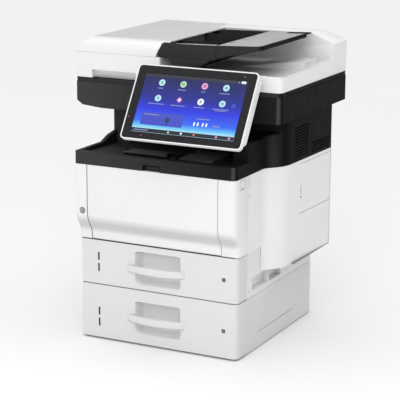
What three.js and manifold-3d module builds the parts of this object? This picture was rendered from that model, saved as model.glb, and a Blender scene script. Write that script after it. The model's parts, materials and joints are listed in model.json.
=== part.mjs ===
// A desk-side A4 photocopier: print engine over two paper drawers, in-body output bay,
// flatbed scanner with a sheet-feeding lid, and a tilting touch panel.
// Millimetres. +X is the machine's right as its user sees it, -Y its front, +Z up.
// The exported group's origin is on the floor, under the middle of the machine's box.
import * as THREE from 'three';
import { mergeVertices } from 'three/addons/utils/BufferGeometryUtils.js';
import Module from 'manifold-3d';

const wasm = await Module();
wasm.setup();

// ---- driving dimensions -------------------------------------------------------------
const GAP = 0.3;                 // clearance between neighbouring pieces
const SKIN = 3.6;                // moulded cover thickness

const BODY = 185;                // half width of door, strips and tray band
const UNIT = 183.5;              // half width of the drawers and their housings
const CAVITY = 176;              // half width inside the housings
const FRONT_Y = -200;            // face of the door and of the tray band
const DRAWER_Y = -181;           // face of the drawers
const WRAP_Y = -138;             // where the front pieces end on the machine's sides
const CORNER = { left: 3, right: 12 };   // upright corners of the front pieces
const UNIT_REAR_Y = 202;
const REAR_Y = 207;
const BULGE_Z = 166;             // underside of the bulge on the right side

const FOOT_H = 2.7;
const FEED_TOP = 121.7;          // joint between the lower feed unit and the engine
const DRAWER_TOP = 218.2;        // top of the upper drawer
const SHELL_Z = 219.5;           // foot of the door and side covers
const WHITE_TOP = 383;           // joint between white covers and black tray band
const BAND_TOP = 410;            // lip of the output tray
const SCAN_Z = 487;              // underside of the scanner
const BEZEL_Z = 541;             // joint between scanner tub and its top frame
const LID_Z = 550;               // joint between scanner and lid
const FEEDER_Z = 604;            // joint between lid and feeder cover
const LID_TOP = 637;

const SCAN = { left: -231, right: 243, front: -115, rear: 234 };
const DOOR = { left: -156.2, right: 145.8, pivotY: -177, pivotZ: 223.5, pinR: 1.5 };
const PANEL = { x: 79.8, y: -240, z: 458.5, tilt: 58, w: 264, h: 159, pivotY: -137, pivotZ: 545 };
const BUTTON = { x: -168.7, z: 284, r: 5 };
const DRAWERS = {
  lower: { z0: 3.5, z1: 120.9, tubZ: 10, tubTop: 95, barZ: 51, gaugeZ: 29, rollerZ: 110 },
  upper: { z0: 122.5, z1: DRAWER_TOP, tubZ: 128.5, tubTop: 196, barZ: 160, gaugeZ: 150, rollerZ: 208 },
};

// ---- materials ----------------------------------------------------------------------
const paint = (color, roughness, metalness = 0) =>
  new THREE.MeshStandardMaterial({ color, roughness, metalness });
const WHITE = paint(0xf1f1ef, 0.45);
const LIGHT = paint(0xd4d5d6, 0.5);
const BLACK = paint(0x232324, 0.42);
const CHARCOAL = paint(0x37373a, 0.5);
const RUBBER = paint(0x1b1b1c, 0.85);
const STEEL = paint(0xb7babd, 0.35, 0.9);
const GLASS = paint(0x9fb4b8, 0.05);
const SCREEN = paint(0x2347c9, 0.2);
const BOARD = paint(0x1f6b3a, 0.6);

// ---- helpers ------------------------------------------------------------------------
const machine = new THREE.Group();

function solid(geometry) {
  const bare = geometry.index ? geometry.toNonIndexed() : geometry;
  bare.deleteAttribute('normal');
  bare.deleteAttribute('uv');
  const merged = mergeVertices(bare, 1e-4);
  return new wasm.Manifold(new wasm.Mesh({
    numProp: 3,
    vertProperties: new Float32Array(merged.attributes.position.array),
    triVerts: new Uint32Array(merged.index.array),
  }));
}

function piece(name, body, material) {
  const mesh = body.getMesh();
  const geometry = new THREE.BufferGeometry();
  geometry.setAttribute('position', new THREE.BufferAttribute(new Float32Array(mesh.vertProperties), 3));
  geometry.setIndex(new THREE.BufferAttribute(new Uint32Array(mesh.triVerts), 1));
  geometry.computeVertexNormals();
  const part = new THREE.Mesh(geometry, material);
  part.name = name;
  machine.add(part);
  return part;
}

function box(x0, x1, y0, y1, z0, z1) {
  const geometry = new THREE.BoxGeometry(x1 - x0, y1 - y0, z1 - z0);
  geometry.translate((x0 + x1) / 2, (y0 + y1) / 2, (z0 + z1) / 2);
  return solid(geometry);
}

function outline(points) {
  return new THREE.Shape(points.map(([u, v]) => new THREE.Vector2(u, v)));
}

// Extrude a shape and turn its local axes onto the three given directions.
function extrude(shape, depth, uAxis, vAxis, wAxis, start, curveSegments = 6) {
  const geometry = new THREE.ExtrudeGeometry(shape, { depth, bevelEnabled: false, curveSegments });
  geometry.translate(0, 0, start);
  geometry.applyMatrix4(new THREE.Matrix4().makeBasis(uAxis, vAxis, wAxis));
  return solid(geometry);
}

const X = new THREE.Vector3(1, 0, 0);
const Y = new THREE.Vector3(0, 1, 0);
const Z = new THREE.Vector3(0, 0, 1);
const MINUS_Y = new THREE.Vector3(0, -1, 0);

// Plan outline pulled up from z0 to z1; side profile (y, z) run from x0 to x1;
// front profile (x, z) run from y0 to y1.
const plan = (shape, z0, z1, segments) => extrude(shape, z1 - z0, X, Y, Z, z0, segments);
const alongX = (shape, x0, x1, segments) => extrude(shape, x1 - x0, Y, Z, X, x0, segments);
const alongY = (shape, y0, y1, segments) => extrude(shape, y1 - y0, X, Z, MINUS_Y, -y1, segments);

// Rectangle with its own radius at each corner: low-low, high-low, high-high, low-high.
function roundRect(u0, u1, v0, v1, radii) {
  const [a, b, c, d] = Array.isArray(radii) ? radii : [radii, radii, radii, radii];
  const shape = new THREE.Shape();
  shape.moveTo(u0 + a, v0);
  shape.lineTo(u1 - b, v0);
  if (b) shape.absarc(u1 - b, v0 + b, b, -Math.PI / 2, 0);
  shape.lineTo(u1, v1 - c);
  if (c) shape.absarc(u1 - c, v1 - c, c, 0, Math.PI / 2);
  shape.lineTo(u0 + d, v1);
  if (d) shape.absarc(u0 + d, v1 - d, d, Math.PI / 2, Math.PI);
  shape.lineTo(u0, v0 + a);
  if (a) shape.absarc(u0 + a, v0 + a, a, Math.PI, Math.PI * 1.5);
  return shape;
}

// Round bar along one axis. centre gives the two other coordinates, in X, Y, Z order.
function rod(axis, centre, radius, from, to, sides = 16) {
  const geometry = new THREE.CylinderGeometry(radius, radius, to - from, sides);
  const middle = (from + to) / 2;
  if (axis === 'x') {
    geometry.rotateZ(-Math.PI / 2);
    geometry.translate(middle, centre[0], centre[1]);
  } else if (axis === 'y') {
    geometry.translate(centre[0], middle, centre[1]);
  } else {
    geometry.rotateX(Math.PI / 2);
    geometry.translate(centre[0], centre[1], middle);
  }
  return solid(geometry);
}

// Straight-sided funnel between two rectangles (x0, x1, z0, z1) at two depths.
function funnel(yA, a, yB, b) {
  const geometry = new THREE.BoxGeometry(1, 1, 1);
  const position = geometry.attributes.position;
  for (let i = 0; i < position.count; i += 1) {
    const [ends, y] = position.getY(i) < 0 ? [a, yA] : [b, yB];
    const x = position.getX(i) < 0 ? ends[0] : ends[1];
    const z = position.getZ(i) < 0 ? ends[2] : ends[3];
    position.setXYZ(i, x, y, z);
  }
  return solid(geometry);
}

// Stack of equal-length rings of points, joined into one closed skin.
function loft(rings) {
  const count = rings[0].length;
  const position = rings.flat().flatMap((p) => [p.x, p.y, p.z]);
  const index = [];
  for (let r = 0; r + 1 < rings.length; r += 1) {
    for (let i = 0; i < count; i += 1) {
      const a = r * count + i;
      const b = r * count + ((i + 1) % count);
      index.push(a, b, b + count, a, b + count, a + count);
    }
  }
  const flat = rings[0].map((p) => new THREE.Vector2(p.x, p.y));
  const top = (rings.length - 1) * count;
  for (const [i, j, k] of THREE.ShapeUtils.triangulateShape(flat, [])) {
    index.push(i, k, j, top + i, top + j, top + k);
  }
  const geometry = new THREE.BufferGeometry();
  geometry.setAttribute('position', new THREE.Float32BufferAttribute(position, 3));
  geometry.setIndex(index);
  return solid(geometry);
}

const union = (first, ...others) => others.reduce((sum, next) => sum.add(next), first);
const cut = (first, ...others) => others.reduce((rest, next) => rest.subtract(next), first);

// ---- lower feed unit and engine base ------------------------------------------------
const FOOT_X = 158;
const FOOT_Y = { front: -118, rear: 176 };
for (const [end, y] of Object.entries(FOOT_Y)) {
  for (const [side, x] of [['left', -FOOT_X], ['right', FOOT_X]]) {
    piece(`foot_${end}_${side}`, rod('z', [x, y], 12, 0, FOOT_H), RUBBER);
  }
}

const housingPlan = roundRect(-UNIT, UNIT, WRAP_Y + 0.5, UNIT_REAR_Y, [0, 0, 8, 8]);

function feedUnitCase() {
  const z0 = FOOT_H + GAP;
  const bar = { z0: 35, z1: 37, y0: -79, y1: 121, deep: 1.4 };
  const grooves = [-1, 1].map((side) => {
    const face = side * UNIT;
    return box(face - bar.deep, face + bar.deep, bar.y0, bar.y1, bar.z0, bar.z1);
  });
  const inside = box(-CAVITY, CAVITY, FRONT_Y, UNIT_REAR_Y - 10, z0 + 5, FEED_TOP + 10);
  return cut(plan(housingPlan, z0, FEED_TOP - GAP, 4), inside, ...grooves);
}
piece('feed_unit_case', feedUnitCase(), WHITE);

// The engine base has a finger grip moulded into each side, divided by a rib, and a cut-out at
// the back for the power socket.
const GRIP = { y0: -113, y1: 31, rib: -31, z0: 133, z1: 162, floor: 172 };
const INLET = { x: -140, z: 188, w: 48, h: 28, deep: 14 };
const inletBlock = (grow, y0, y1) => box(INLET.x - INLET.w / 2 - grow, INLET.x + INLET.w / 2 + grow, y0, y1,
  INLET.z - INLET.h / 2 - grow, INLET.z + INLET.h / 2 + grow);
function engineBase() {
  const z0 = FEED_TOP + GAP;
  const shell = plan(housingPlan, z0, SHELL_Z - 0.9, 4);
  const inside = box(-CAVITY, CAVITY, FRONT_Y, UNIT_REAR_Y - 10, z0 + 4, SHELL_Z + 10);
  let base = cut(shell, inside);
  for (const side of [-1, 1]) {
    const span = (a, b) => (side > 0 ? [a, b] : [-b, -a]);
    const back = box(...span(GRIP.floor - 3, CAVITY + 1), GRIP.y0 - 4, GRIP.y1 + 4, GRIP.z0 - 4, GRIP.z1 + 4);
    const front = box(...span(GRIP.floor, UNIT + 5), GRIP.y0, GRIP.rib - 2, GRIP.z0, GRIP.z1);
    const rear = box(...span(GRIP.floor, UNIT + 5), GRIP.rib + 2, GRIP.y1, GRIP.z0, GRIP.z1);
    base = cut(union(base, back), front, rear);
  }
  return cut(base, inletBlock(0, UNIT_REAR_Y - 12, UNIT_REAR_Y + 5));
}
piece('engine_base', engineBase(), WHITE);

// ---- paper drawers ------------------------------------------------------------------
const TUB = { half: 166.5, y0: WRAP_Y + GAP, y1: 178, wall: 3.2 };
const HANDLE = { left: -75, right: 64, height: 14, bow: 28, thick: 17 };
const FENCE = { x: 105.5, half: 1.6, y0: -92, y1: 62, foot: 34 };
const LIFT = { half: 68, y0: -126, y1: 84, thick: 1.6 };

function drawerFront(d) {
  const shape = roundRect(-UNIT, UNIT, DRAWER_Y, WRAP_Y, [CORNER.left, CORNER.right, 0, 0]);
  const hollow = box(-UNIT + 4.5, UNIT - 4.5, DRAWER_Y + 5, WRAP_Y + 5, d.z0 + 4, d.z1 - 4);
  const mouth = [-57, 52, d.barZ - 26, d.barZ + 45];
  const floor = [-44, 47, d.barZ - 18, d.barZ + 41];
  const grown = (r, by) => [r[0] - by, r[1] + by, r[2] - by, Math.min(r[3] + by, d.z1 - 2)];
  const tub = funnel(DRAWER_Y + 1, grown(mouth, 3.5), DRAWER_Y + 27, grown(floor, 3.5));
  const pocket = funnel(DRAWER_Y - 1, mouth, DRAWER_Y + 23, floor);
  const gauge = [d.gaugeZ, d.gaugeZ + 24.5].map((z) =>
    box(-143.5, -139.5, DRAWER_Y - 1, DRAWER_Y + 1.5, z, z + 18));
  return cut(union(cut(plan(shape, d.z0, d.z1), hollow), tub), pocket, ...gauge);
}

function drawerHandle(d) {
  const back = DRAWER_Y - GAP;
  const middle = (HANDLE.left + HANDLE.right) / 2;
  const shape = new THREE.Shape();
  shape.moveTo(HANDLE.left, back);
  shape.quadraticCurveTo(middle, back - HANDLE.bow, HANDLE.right, back);
  shape.lineTo(HANDLE.right - 9, back);
  shape.quadraticCurveTo(middle, back - HANDLE.bow + HANDLE.thick, HANDLE.left + 9, back);
  return plan(shape, d.barZ, d.barZ + HANDLE.height, 10);
}

function drawerTub(d) {
  const outer = box(-TUB.half, TUB.half, TUB.y0, TUB.y1, d.tubZ, d.tubTop);
  const inner = box(-TUB.half + TUB.wall, TUB.half - TUB.wall, TUB.y0 + TUB.wall, TUB.y1 - TUB.wall,
    d.tubZ + TUB.wall, d.tubTop + 1);
  return cut(outer, inner);
}

function paperFence(d, side) {
  const floor = d.tubZ + TUB.wall + 0.5;
  const span = (a, b) => (side > 0 ? [a, b] : [-b, -a]);
  const wall = box(...span(FENCE.x - FENCE.half, FENCE.x + FENCE.half), FENCE.y0, FENCE.y1, floor, d.tubTop - 8);
  const foot = box(...span(FENCE.x, FENCE.x + FENCE.foot), -34, 4, floor, floor + 3);
  return union(wall, foot);
}

for (const [name, d] of Object.entries(DRAWERS)) {
  const floor = d.tubZ + TUB.wall + 0.5;
  piece(`${name}_drawer_front`, drawerFront(d), WHITE);
  piece(`${name}_drawer_handle`, drawerHandle(d), WHITE);
  piece(`${name}_drawer_tray`, drawerTub(d), LIGHT);
  piece(`${name}_lift_plate`, box(-LIFT.half, LIFT.half, LIFT.y0, LIFT.y1, floor, floor + LIFT.thick), STEEL);
  piece(`${name}_fence_left`, paperFence(d, -1), CHARCOAL);
  piece(`${name}_fence_right`, paperFence(d, 1), CHARCOAL);
  const roller = union(
    rod('x', [-112, d.rollerZ], 3, -CAVITY + GAP, CAVITY - GAP, 10),
    rod('x', [-112, d.rollerZ], 9.5, -24, 24, 18),
  );
  piece(`${name}_pickup_roller`, roller, RUBBER);
}

// ---- front: strips and door ---------------------------------------------------------
// The face stands upright, then steps back in a slope to the line of the drawers.
const FACE = [
  { z: SHELL_Z, y: DRAWER_Y },
  { z: 240, y: DRAWER_Y },
  { z: 268, y: FRONT_Y },
  { z: WHITE_TOP - GAP, y: FRONT_Y },
];

function faceLoft(inset, z0, z1) {
  const levels = FACE.map((level) => ({ ...level }));
  levels[0].z = z0;
  levels[levels.length - 1].z = z1;
  return loft(levels.map(({ z, y }) => {
    const shape = roundRect(-BODY + inset, BODY - inset, y + inset, WRAP_Y + inset,
      [Math.max(CORNER.left - inset, 0.5), CORNER.right - inset, 0, 0]);
    return shape.getPoints(6).slice(0, -1).map((p) => new THREE.Vector3(p.x, p.y, z));
  }));
}
const faceOuter = faceLoft(0, SHELL_Z, WHITE_TOP - GAP);
const faceInner = faceLoft(SKIN, SHELL_Z - 1, WHITE_TOP + 1);

function frontStrip(x0, x1) {
  const slab = faceOuter.intersect(box(x0, x1, FRONT_Y - 1, WRAP_Y, 0, WHITE_TOP));
  const room = faceInner.intersect(box(Math.max(x0, -BODY) + SKIN, Math.min(x1, BODY) - SKIN,
    FRONT_Y, WRAP_Y + 1, 0, WHITE_TOP + 2));
  return cut(slab, room);
}
const buttonWell = rod('y', [BUTTON.x, BUTTON.z], BUTTON.r + 0.4, FRONT_Y - 2, FRONT_Y + 10, 24);
const hingePin = (x0, x1) => rod('x', [DOOR.pivotY, DOOR.pivotZ], DOOR.pinR, x0, x1, 12);
piece('front_strip_left', union(cut(frontStrip(-BODY, DOOR.left - 0.5), buttonWell),
  hingePin(DOOR.left - 2, DOOR.left + 9)), WHITE);
piece('front_strip_right', union(frontStrip(DOOR.right + 0.5, BODY),
  hingePin(DOOR.right - 9, DOOR.right + 2)), WHITE);

function frontDoor() {
  const room = box(DOOR.left, DOOR.right, FRONT_Y - 1, WRAP_Y - 26, 0, WHITE_TOP);
  const skin = cut(faceOuter, faceInner).intersect(room);
  const ribs = [DOOR.left, -60, 50, DOOR.right - 3].map((x) =>
    cut(faceOuter, box(-BODY, BODY, -188, 0, 240, 400), box(-BODY, BODY, -174, 0, 0, 240))
      .intersect(box(x, x + 3, FRONT_Y, WRAP_Y, SHELL_Z, WHITE_TOP)));
  const top = box(DOOR.left, DOOR.right, FRONT_Y + 1, -188, WHITE_TOP - 4, WHITE_TOP - GAP);
  const knuckle = rod('x', [DOOR.pivotY, DOOR.pivotZ], 4, DOOR.left, DOOR.right, 20);
  const below = box(DOOR.left - 1, DOOR.right + 1, FRONT_Y, WRAP_Y, 200, DOOR.pivotZ);
  const bore = rod('x', [DOOR.pivotY, DOOR.pivotZ], DOOR.pinR + 0.4, DOOR.left - 5, DOOR.right + 5, 12);
  return cut(union(cut(union(skin, ...ribs), below), top, knuckle), bore);
}
piece('front_door', frontDoor(), WHITE);
piece('power_button', union(
  rod('y', [BUTTON.x, BUTTON.z], BUTTON.r, FRONT_Y - 1, FRONT_Y + 5, 24),
  rod('y', [BUTTON.x, BUTTON.z], 2.5, FRONT_Y + 4, FRONT_Y + 16, 12),
), LIGHT);

// ---- side and rear covers -----------------------------------------------------------
// Plan of the right side: flush at the front, then a soft bulge out to full width.
function rightPlan(shift, y0, y1, inner) {
  const shape = new THREE.Shape();
  shape.moveTo(inner, y0);
  shape.lineTo(BODY + shift, y0);
  shape.lineTo(BODY + shift, -74);
  shape.bezierCurveTo(BODY + shift, -48, 214 + shift, -46, 217.5 + shift, -5);
  shape.lineTo(224 + shift, y1 - 6);
  shape.quadraticCurveTo(224 + shift, y1, 218 + shift, y1);
  shape.lineTo(inner, y1);
  return shape;
}

function rightCover() {
  const top = WHITE_TOP - GAP;
  const outer = plan(rightPlan(0, WRAP_Y + GAP, REAR_Y - 4, 150), BULGE_Z, top, 10);
  const room = plan(rightPlan(-SKIN, WRAP_Y - 5, REAR_Y + 9, 140), BULGE_Z + 3, top + 1, 10);
  const core = plan(rightPlan(-1.2, WRAP_Y - 5, REAR_Y + 9, 140), BULGE_Z, top + 1, 10);
  const marks = union(
    box(200, 230, 46, 199, 266.4, 267.8),
    box(200, 230, 47, 193, 374.6, 375.8),
    box(200, 230, 49.4, 50.6, 307, 333),
    rod('x', [50, 303], 1.6, 200, 230, 10),
  );
  const base = union(
    box(140, UNIT + 0.7, -150, 220, 100, SHELL_Z - GAP),
    box(140, 190, -150, -74, 100, SHELL_Z - GAP),
  );
  return cut(outer, room, base, cut(marks, core));
}
piece('right_cover', rightCover(), WHITE);

piece('left_cover',
  box(-BODY, -BODY + SKIN, WRAP_Y + GAP, REAR_Y - 4, SHELL_Z, WHITE_TOP - GAP), WHITE);

function rearCover() {
  const shape = roundRect(-BODY, 224, REAR_Y - 4 + GAP, REAR_Y, [0, 0, 2, 2]);
  const slots = [];
  for (let i = 0; i < 7; i += 1) {
    slots.push(box(60, 150, REAR_Y - 8, REAR_Y + 1, 250 + i * 9, 253.5 + i * 9));
  }
  return cut(plan(shape, BULGE_Z, WHITE_TOP - GAP, 3), inletBlock(0, REAR_Y - 8, REAR_Y + 1), ...slots);
}
piece('rear_cover', rearCover(), WHITE);

// ---- output bay ---------------------------------------------------------------------
const PILLAR = { x0: -184, x1: -142, y: -39, z: 426 };
const BAY = { right: 150, back: 98 };
const STOP = { x0: -97, x1: 6, y0: -151, y1: -118, z0: 403.4, z1: 409 };

function outputTray() {
  const z0 = WHITE_TOP + GAP;
  const band = plan(roundRect(-BODY, BODY, FRONT_Y, WRAP_Y, [CORNER.left, CORNER.right, 0, 0]), z0, BAND_TOP);
  const deck = box(-BODY, BAY.right - GAP, WRAP_Y - 1, BAY.back, z0, 404);
  const rim = alongX(outline([[WRAP_Y - 40, 400], [BAY.back, 400], [BAY.back, PILLAR.z], [PILLAR.y, PILLAR.z],
    [-70, 420], [-95, BAND_TOP], [WRAP_Y - 40, BAND_TOP]]), -BODY, -BODY + 9);
  const ledge = box(-BODY, PILLAR.x1, PILLAR.y, BAY.back, 400, PILLAR.z);
  const well = alongX(outline([[FRONT_Y + 15, 402.5], [BAY.back + 1, 397], [BAY.back + 1, 440],
    [FRONT_Y + 11, 440]]), -BODY + 9, 163);
  const keep = union(box(-BODY, PILLAR.x1, PILLAR.y, BAY.back + 2, 380, 440));
  const under = union(
    box(-BODY + SKIN, BODY - SKIN, FRONT_Y + SKIN, WRAP_Y - SKIN, z0 - 5, 393),
    box(-BODY + SKIN, BAY.right - SKIN - GAP, WRAP_Y - SKIN - 1, BAY.back - SKIN, z0 - 5, 393),
  );
  const latchBox = box(-31, 21, FRONT_Y + 1, FRONT_Y + 14, z0, 394);
  const latch = box(-25, 15, FRONT_Y - 1, FRONT_Y + 10, z0 - 5, 396);
  const stopWell = box(STOP.x0 - 1, STOP.x1 + 1, STOP.y0 - 1, STOP.y1 + 1, STOP.z0 - 4, 420);
  const stopFloor = box(STOP.x0 - 5, STOP.x1 + 5, STOP.y0 - 5, STOP.y1 + 5, STOP.z0 - 8, STOP.z0 - 3);
  const shell = cut(union(band, deck, rim, ledge), cut(well, keep));
  return cut(union(cut(shell, under), latchBox, stopFloor), latch, stopWell);
}
piece('output_tray', outputTray(), BLACK);
const stopBar = alongX(roundRect(STOP.y0, STOP.y1, STOP.z0, STOP.z1, [2.6, 1, 1, 2.6]), STOP.x0, STOP.x1, 3);
piece('output_stop', stopBar, CHARCOAL);

function bayCover() {
  const z0 = WHITE_TOP + GAP;
  const z1 = SCAN_Z - GAP;
  const pillar = box(PILLAR.x0, PILLAR.x1, PILLAR.y, REAR_Y, PILLAR.z + GAP, z1);
  const back = box(PILLAR.x0, BAY.right - GAP, BAY.back + GAP, REAR_Y, z0, z1);
  const rooms = union(
    box(PILLAR.x0 + SKIN, PILLAR.x1 - SKIN, PILLAR.y + SKIN, REAR_Y - SKIN, z0 - 5, z1 - SKIN),
    box(PILLAR.x0 + SKIN, BAY.right - GAP - SKIN, BAY.back + GAP + SKIN, REAR_Y - SKIN, z0 - 5, z1 - SKIN),
  );
  const exit = box(-118, 118, BAY.back - 2, BAY.back + 8, 428, 452);
  return cut(union(pillar, back), rooms, exit);
}
piece('bay_cover', bayCover(), BLACK);
piece('exit_roller', union(
  rod('x', [BAY.back + 14, 440], 3, PILLAR.x0 + 20, BAY.right - 18, 10),
  ...[-84, -28, 28, 84].map((x) => rod('x', [BAY.back + 14, 440], 7.5, x - 8, x + 8, 14)),
), RUBBER);

// Black column that carries the scanner on the right: a low shoulder in front, full height
// behind it, and two groups of cooling slots in its side.
function rightColumn() {
  const z0 = WHITE_TOP + GAP;
  const z1 = SCAN_Z - GAP;
  const outer = plan(rightPlan(0, WRAP_Y + GAP, REAR_Y, BAY.right), z0, z1, 10);
  const room = plan(rightPlan(-SKIN, WRAP_Y + GAP + SKIN, REAR_Y - SKIN, BAY.right + SKIN), z0 - 5, z1 - SKIN, 10);
  const open = alongX(outline([[-150, 449], [-85, 446], [-33, 454], [-33, 500], [-150, 500]]), 100, 260);
  const lid = alongX(outline([[-137.7, 445], [-85, 442], [-30, 450], [-30, 454], [-85, 446], [-137.7, 449]]),
    BAY.right, 240).intersect(outer);
  const slots = [];
  for (let i = 0; i < 11; i += 1) slots.push(box(205, 235, 15, 84, 392 + i * 6.2, 394.6 + i * 6.2));
  for (let i = 0; i < 4; i += 1) slots.push(box(205, 235, 100, 192, 390 + i * 6.2, 392.6 + i * 6.2));
  const front = box(BAY.right, 214, -33, -29, 446, z1).intersect(outer);
  return cut(union(cut(outer, room, open), lid, front), ...slots);
}
piece('right_column', rightColumn(), BLACK);

// ---- scanner ------------------------------------------------------------------------
const scanPlan = (inset) => roundRect(SCAN.left + inset, SCAN.right - inset, SCAN.front + inset,
  SCAN.rear - inset, [3, 13, 4, 4].map((r) => Math.max(r - inset, 0.5)));
const GLASS_BED = { x0: -112, x1: 220, y0: -72, y1: 152 };
const CARRIAGE = { x0: -172, x1: -138, railY: 40, railZ: 506 };
const HINGE = { y: 227, r: 5.5, spans: [[-185, -145], [150, 190]] };

function scannerTub() {
  const sides = alongY(outline([[SCAN.left, 501], [SCAN.left + 15, 491], [-170, SCAN_Z], [SCAN.right, SCAN_Z],
    [SCAN.right, BEZEL_Z - GAP], [SCAN.left, BEZEL_Z - GAP]]), SCAN.front, SCAN.rear);
  const room = plan(scanPlan(SKIN), 495, BEZEL_Z + 2);
  return cut(plan(scanPlan(0), SCAN_Z, BEZEL_Z - GAP).intersect(sides), room,
    box(SCAN.left + 18, SCAN.right - 6, SCAN.front + 6, SCAN.rear - 6, SCAN_Z + SKIN, 500));
}
piece('scanner_tub', scannerTub(), BLACK);

function scannerBezel() {
  const frame = plan(scanPlan(1.2), BEZEL_Z, LID_Z - GAP);
  const g = GLASS_BED;
  const window = box(g.x0 + 4, g.x1 - 4, g.y0 + 4, g.y1 - 4, BEZEL_Z - 2, LID_Z + 2);
  const seat = box(g.x0 - GAP, g.x1 + GAP, g.y0 - GAP, g.y1 + GAP, LID_Z - 4.6, LID_Z + 2);
  const slit = box(-150, -130, g.y0, g.y1, BEZEL_Z - 2, LID_Z + 2);
  const hinges = HINGE.spans.map(([a, b]) => rod('x', [HINGE.y, LID_Z], HINGE.r + 0.6, a - 1, b + 1, 16));
  const groove = rod('x', [HINGE.y, LID_Z], 2.5, HINGE.spans[0][0], HINGE.spans[1][1], 10);
  return cut(frame, window, seat, slit, groove, ...hinges);
}
piece('scanner_bezel', scannerBezel(), CHARCOAL);
piece('platen_glass', box(GLASS_BED.x0, GLASS_BED.x1, GLASS_BED.y0, GLASS_BED.y1, LID_Z - 4.2, LID_Z - 0.6), GLASS);
piece('carriage_rail', rod('x', [CARRIAGE.railY, CARRIAGE.railZ], 4, SCAN.left + 5, SCAN.right - 5, 12), STEEL);
piece('scan_carriage', cut(
  union(box(CARRIAGE.x0, CARRIAGE.x1, -82, 162, 515, 533),
    box(CARRIAGE.x0, CARRIAGE.x1, CARRIAGE.railY - 10, CARRIAGE.railY + 10, 498, 516)),
  rod('x', [CARRIAGE.railY, CARRIAGE.railZ], 4.5, -300, 300, 12),
  box(CARRIAGE.x0 + 9, CARRIAGE.x1 - 9, -76, 156, 529, 540),
), CHARCOAL);
piece('lid_hinge', union(
  rod('x', [HINGE.y, LID_Z], 2, HINGE.spans[0][0], HINGE.spans[1][1], 10),
  ...HINGE.spans.map(([a, b]) => rod('x', [HINGE.y, LID_Z], HINGE.r, a, b, 16)),
), STEEL);

// ---- lid with sheet feeder ----------------------------------------------------------
const FEEDER = { right: -31, fillet: 25, rearFillet: 20 };
const LIP = { x: -14, z: 634, heel: -27, foot: -41.2 };   // right-hand edge of the feeder cover
const lipEdge = (z) => LIP.foot + 0.5 + (z - FEEDER_Z) * (LIP.heel - LIP.foot) / (LIP.z - FEEDER_Z);
const OUTPUT = { z: 570, lip: 583, lipWidth: 7, wall: 158 };
const WEDGE = { x0: 70, x1: 218, y0: 58, y1: 128, top: 588 };
const FLAP = { x0: 187, x1: 216, y0: 69, y1: 117, thick: 2.4 };

// Side profile of the closed lid: rounded over at the front and at the rear.
function lidProfile(inset) {
  const front = SCAN.front + inset;
  const rear = SCAN.rear - inset;
  const top = LID_TOP - inset;
  const a = FEEDER.fillet - inset;
  const b = FEEDER.rearFillet - inset;
  const shape = new THREE.Shape();
  shape.moveTo(front, LID_Z + GAP - inset);
  shape.lineTo(rear - 8 + inset, LID_Z + GAP - inset);
  shape.lineTo(rear, LID_Z + 12);
  shape.lineTo(rear, top - b);
  shape.absarc(rear - b, top - b, b, 0, Math.PI / 2);
  shape.lineTo(front + a, top);
  shape.absarc(front + a, top - a, a, Math.PI / 2, Math.PI);
  return shape;
}

// Front profile of the closed lid: sloped shoulders left and right.
const lidShoulders = (inset) => outline([[SCAN.left + inset, LID_Z - 5], [SCAN.right - inset, LID_Z - 5],
  [SCAN.right - inset, 616 - inset], [192, LID_TOP - inset], [-192, LID_TOP - inset],
  [-222 + inset, 622 - inset], [SCAN.left + inset, 609 - inset]]);

const lidForm = (inset) => alongX(lidProfile(inset), SCAN.left + inset, SCAN.right - inset, 6)
  .intersect(alongY(lidShoulders(inset), SCAN.front, SCAN.rear))
  .intersect(plan(scanPlan(inset), LID_Z - 5, LID_TOP + 1));

function lidBase() {
  const form = lidForm(0);
  const feeder = box(SCAN.left - 1, FEEDER.right, SCAN.front - 1, SCAN.rear + 1, LID_Z, FEEDER_Z - GAP);
  const wall = union(
    box(FEEDER.right, SCAN.right + 1, OUTPUT.wall, SCAN.rear + 1, LID_Z, LID_TOP + 1),
    box(FEEDER.right - 1, SCAN.right + 1, OUTPUT.wall, SCAN.rear + 1, LID_Z, OUTPUT.lip),
  );
  const lips = box(FEEDER.right - 1, SCAN.right + 1, SCAN.front - 1, OUTPUT.wall + 1, LID_Z, OUTPUT.lip);
  const basin = box(FEEDER.right, SCAN.right - OUTPUT.lipWidth, SCAN.front + OUTPUT.lipWidth, OUTPUT.wall,
    OUTPUT.z, LID_TOP);
  const w = WEDGE;
  const ramp = alongY(outline([[w.x0, OUTPUT.z - 1], [w.x1, OUTPUT.z - 1], [w.x1, w.top], [w.x1 - 33, w.top - 1],
    [w.x0, OUTPUT.z]]), w.y0, w.y1);
  const flapSeat = box(FLAP.x0 - 1, FLAP.x1 + 3, FLAP.y0 - 1, FLAP.y1 + 1, w.top - FLAP.thick - 1.4, w.top + 5);
  const rollerWell = box(-205, -42, -80, 195, 568, FEEDER_Z + 5);
  const under = union(
    box(-205, -42, -80, 195, LID_Z - 5, 560),
    box(-26, 186, OUTPUT.wall + 8, SCAN.rear - 24, LID_Z - 5, 625),
  );
  const padSeat = box(PAD.x0 - 1, PAD.x1 + 1, PAD.y0 - 1, PAD.y1 + 1, LID_Z - 5, PAD.z1 + GAP);
  const grip = box(-192, -87, SCAN.front - 1, SCAN.front + 12, LID_Z - 1, 567.5);
  const hingeRoom = union(
    ...HINGE.spans.map(([a, b]) => rod('x', [HINGE.y, LID_Z], HINGE.r + 0.8, a - 1, b + 1, 16)),
    rod('x', [HINGE.y, LID_Z], 2.5, HINGE.spans[0][0] - 2, HINGE.spans[1][1] + 2, 10),
  );
  return cut(union(cut(form.intersect(union(feeder, wall, lips)), basin), ramp),
    flapSeat, rollerWell, padSeat, grip, hingeRoom, under);
}
const PAD = { x0: -118, x1: 226, y0: -78, y1: 158, z0: LID_Z + 0.1, z1: 556 };
piece('lid_base', lidBase(), WHITE);
piece('platen_pad', box(PAD.x0, PAD.x1, PAD.y0, PAD.y1, PAD.z0, PAD.z1), WHITE);
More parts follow.
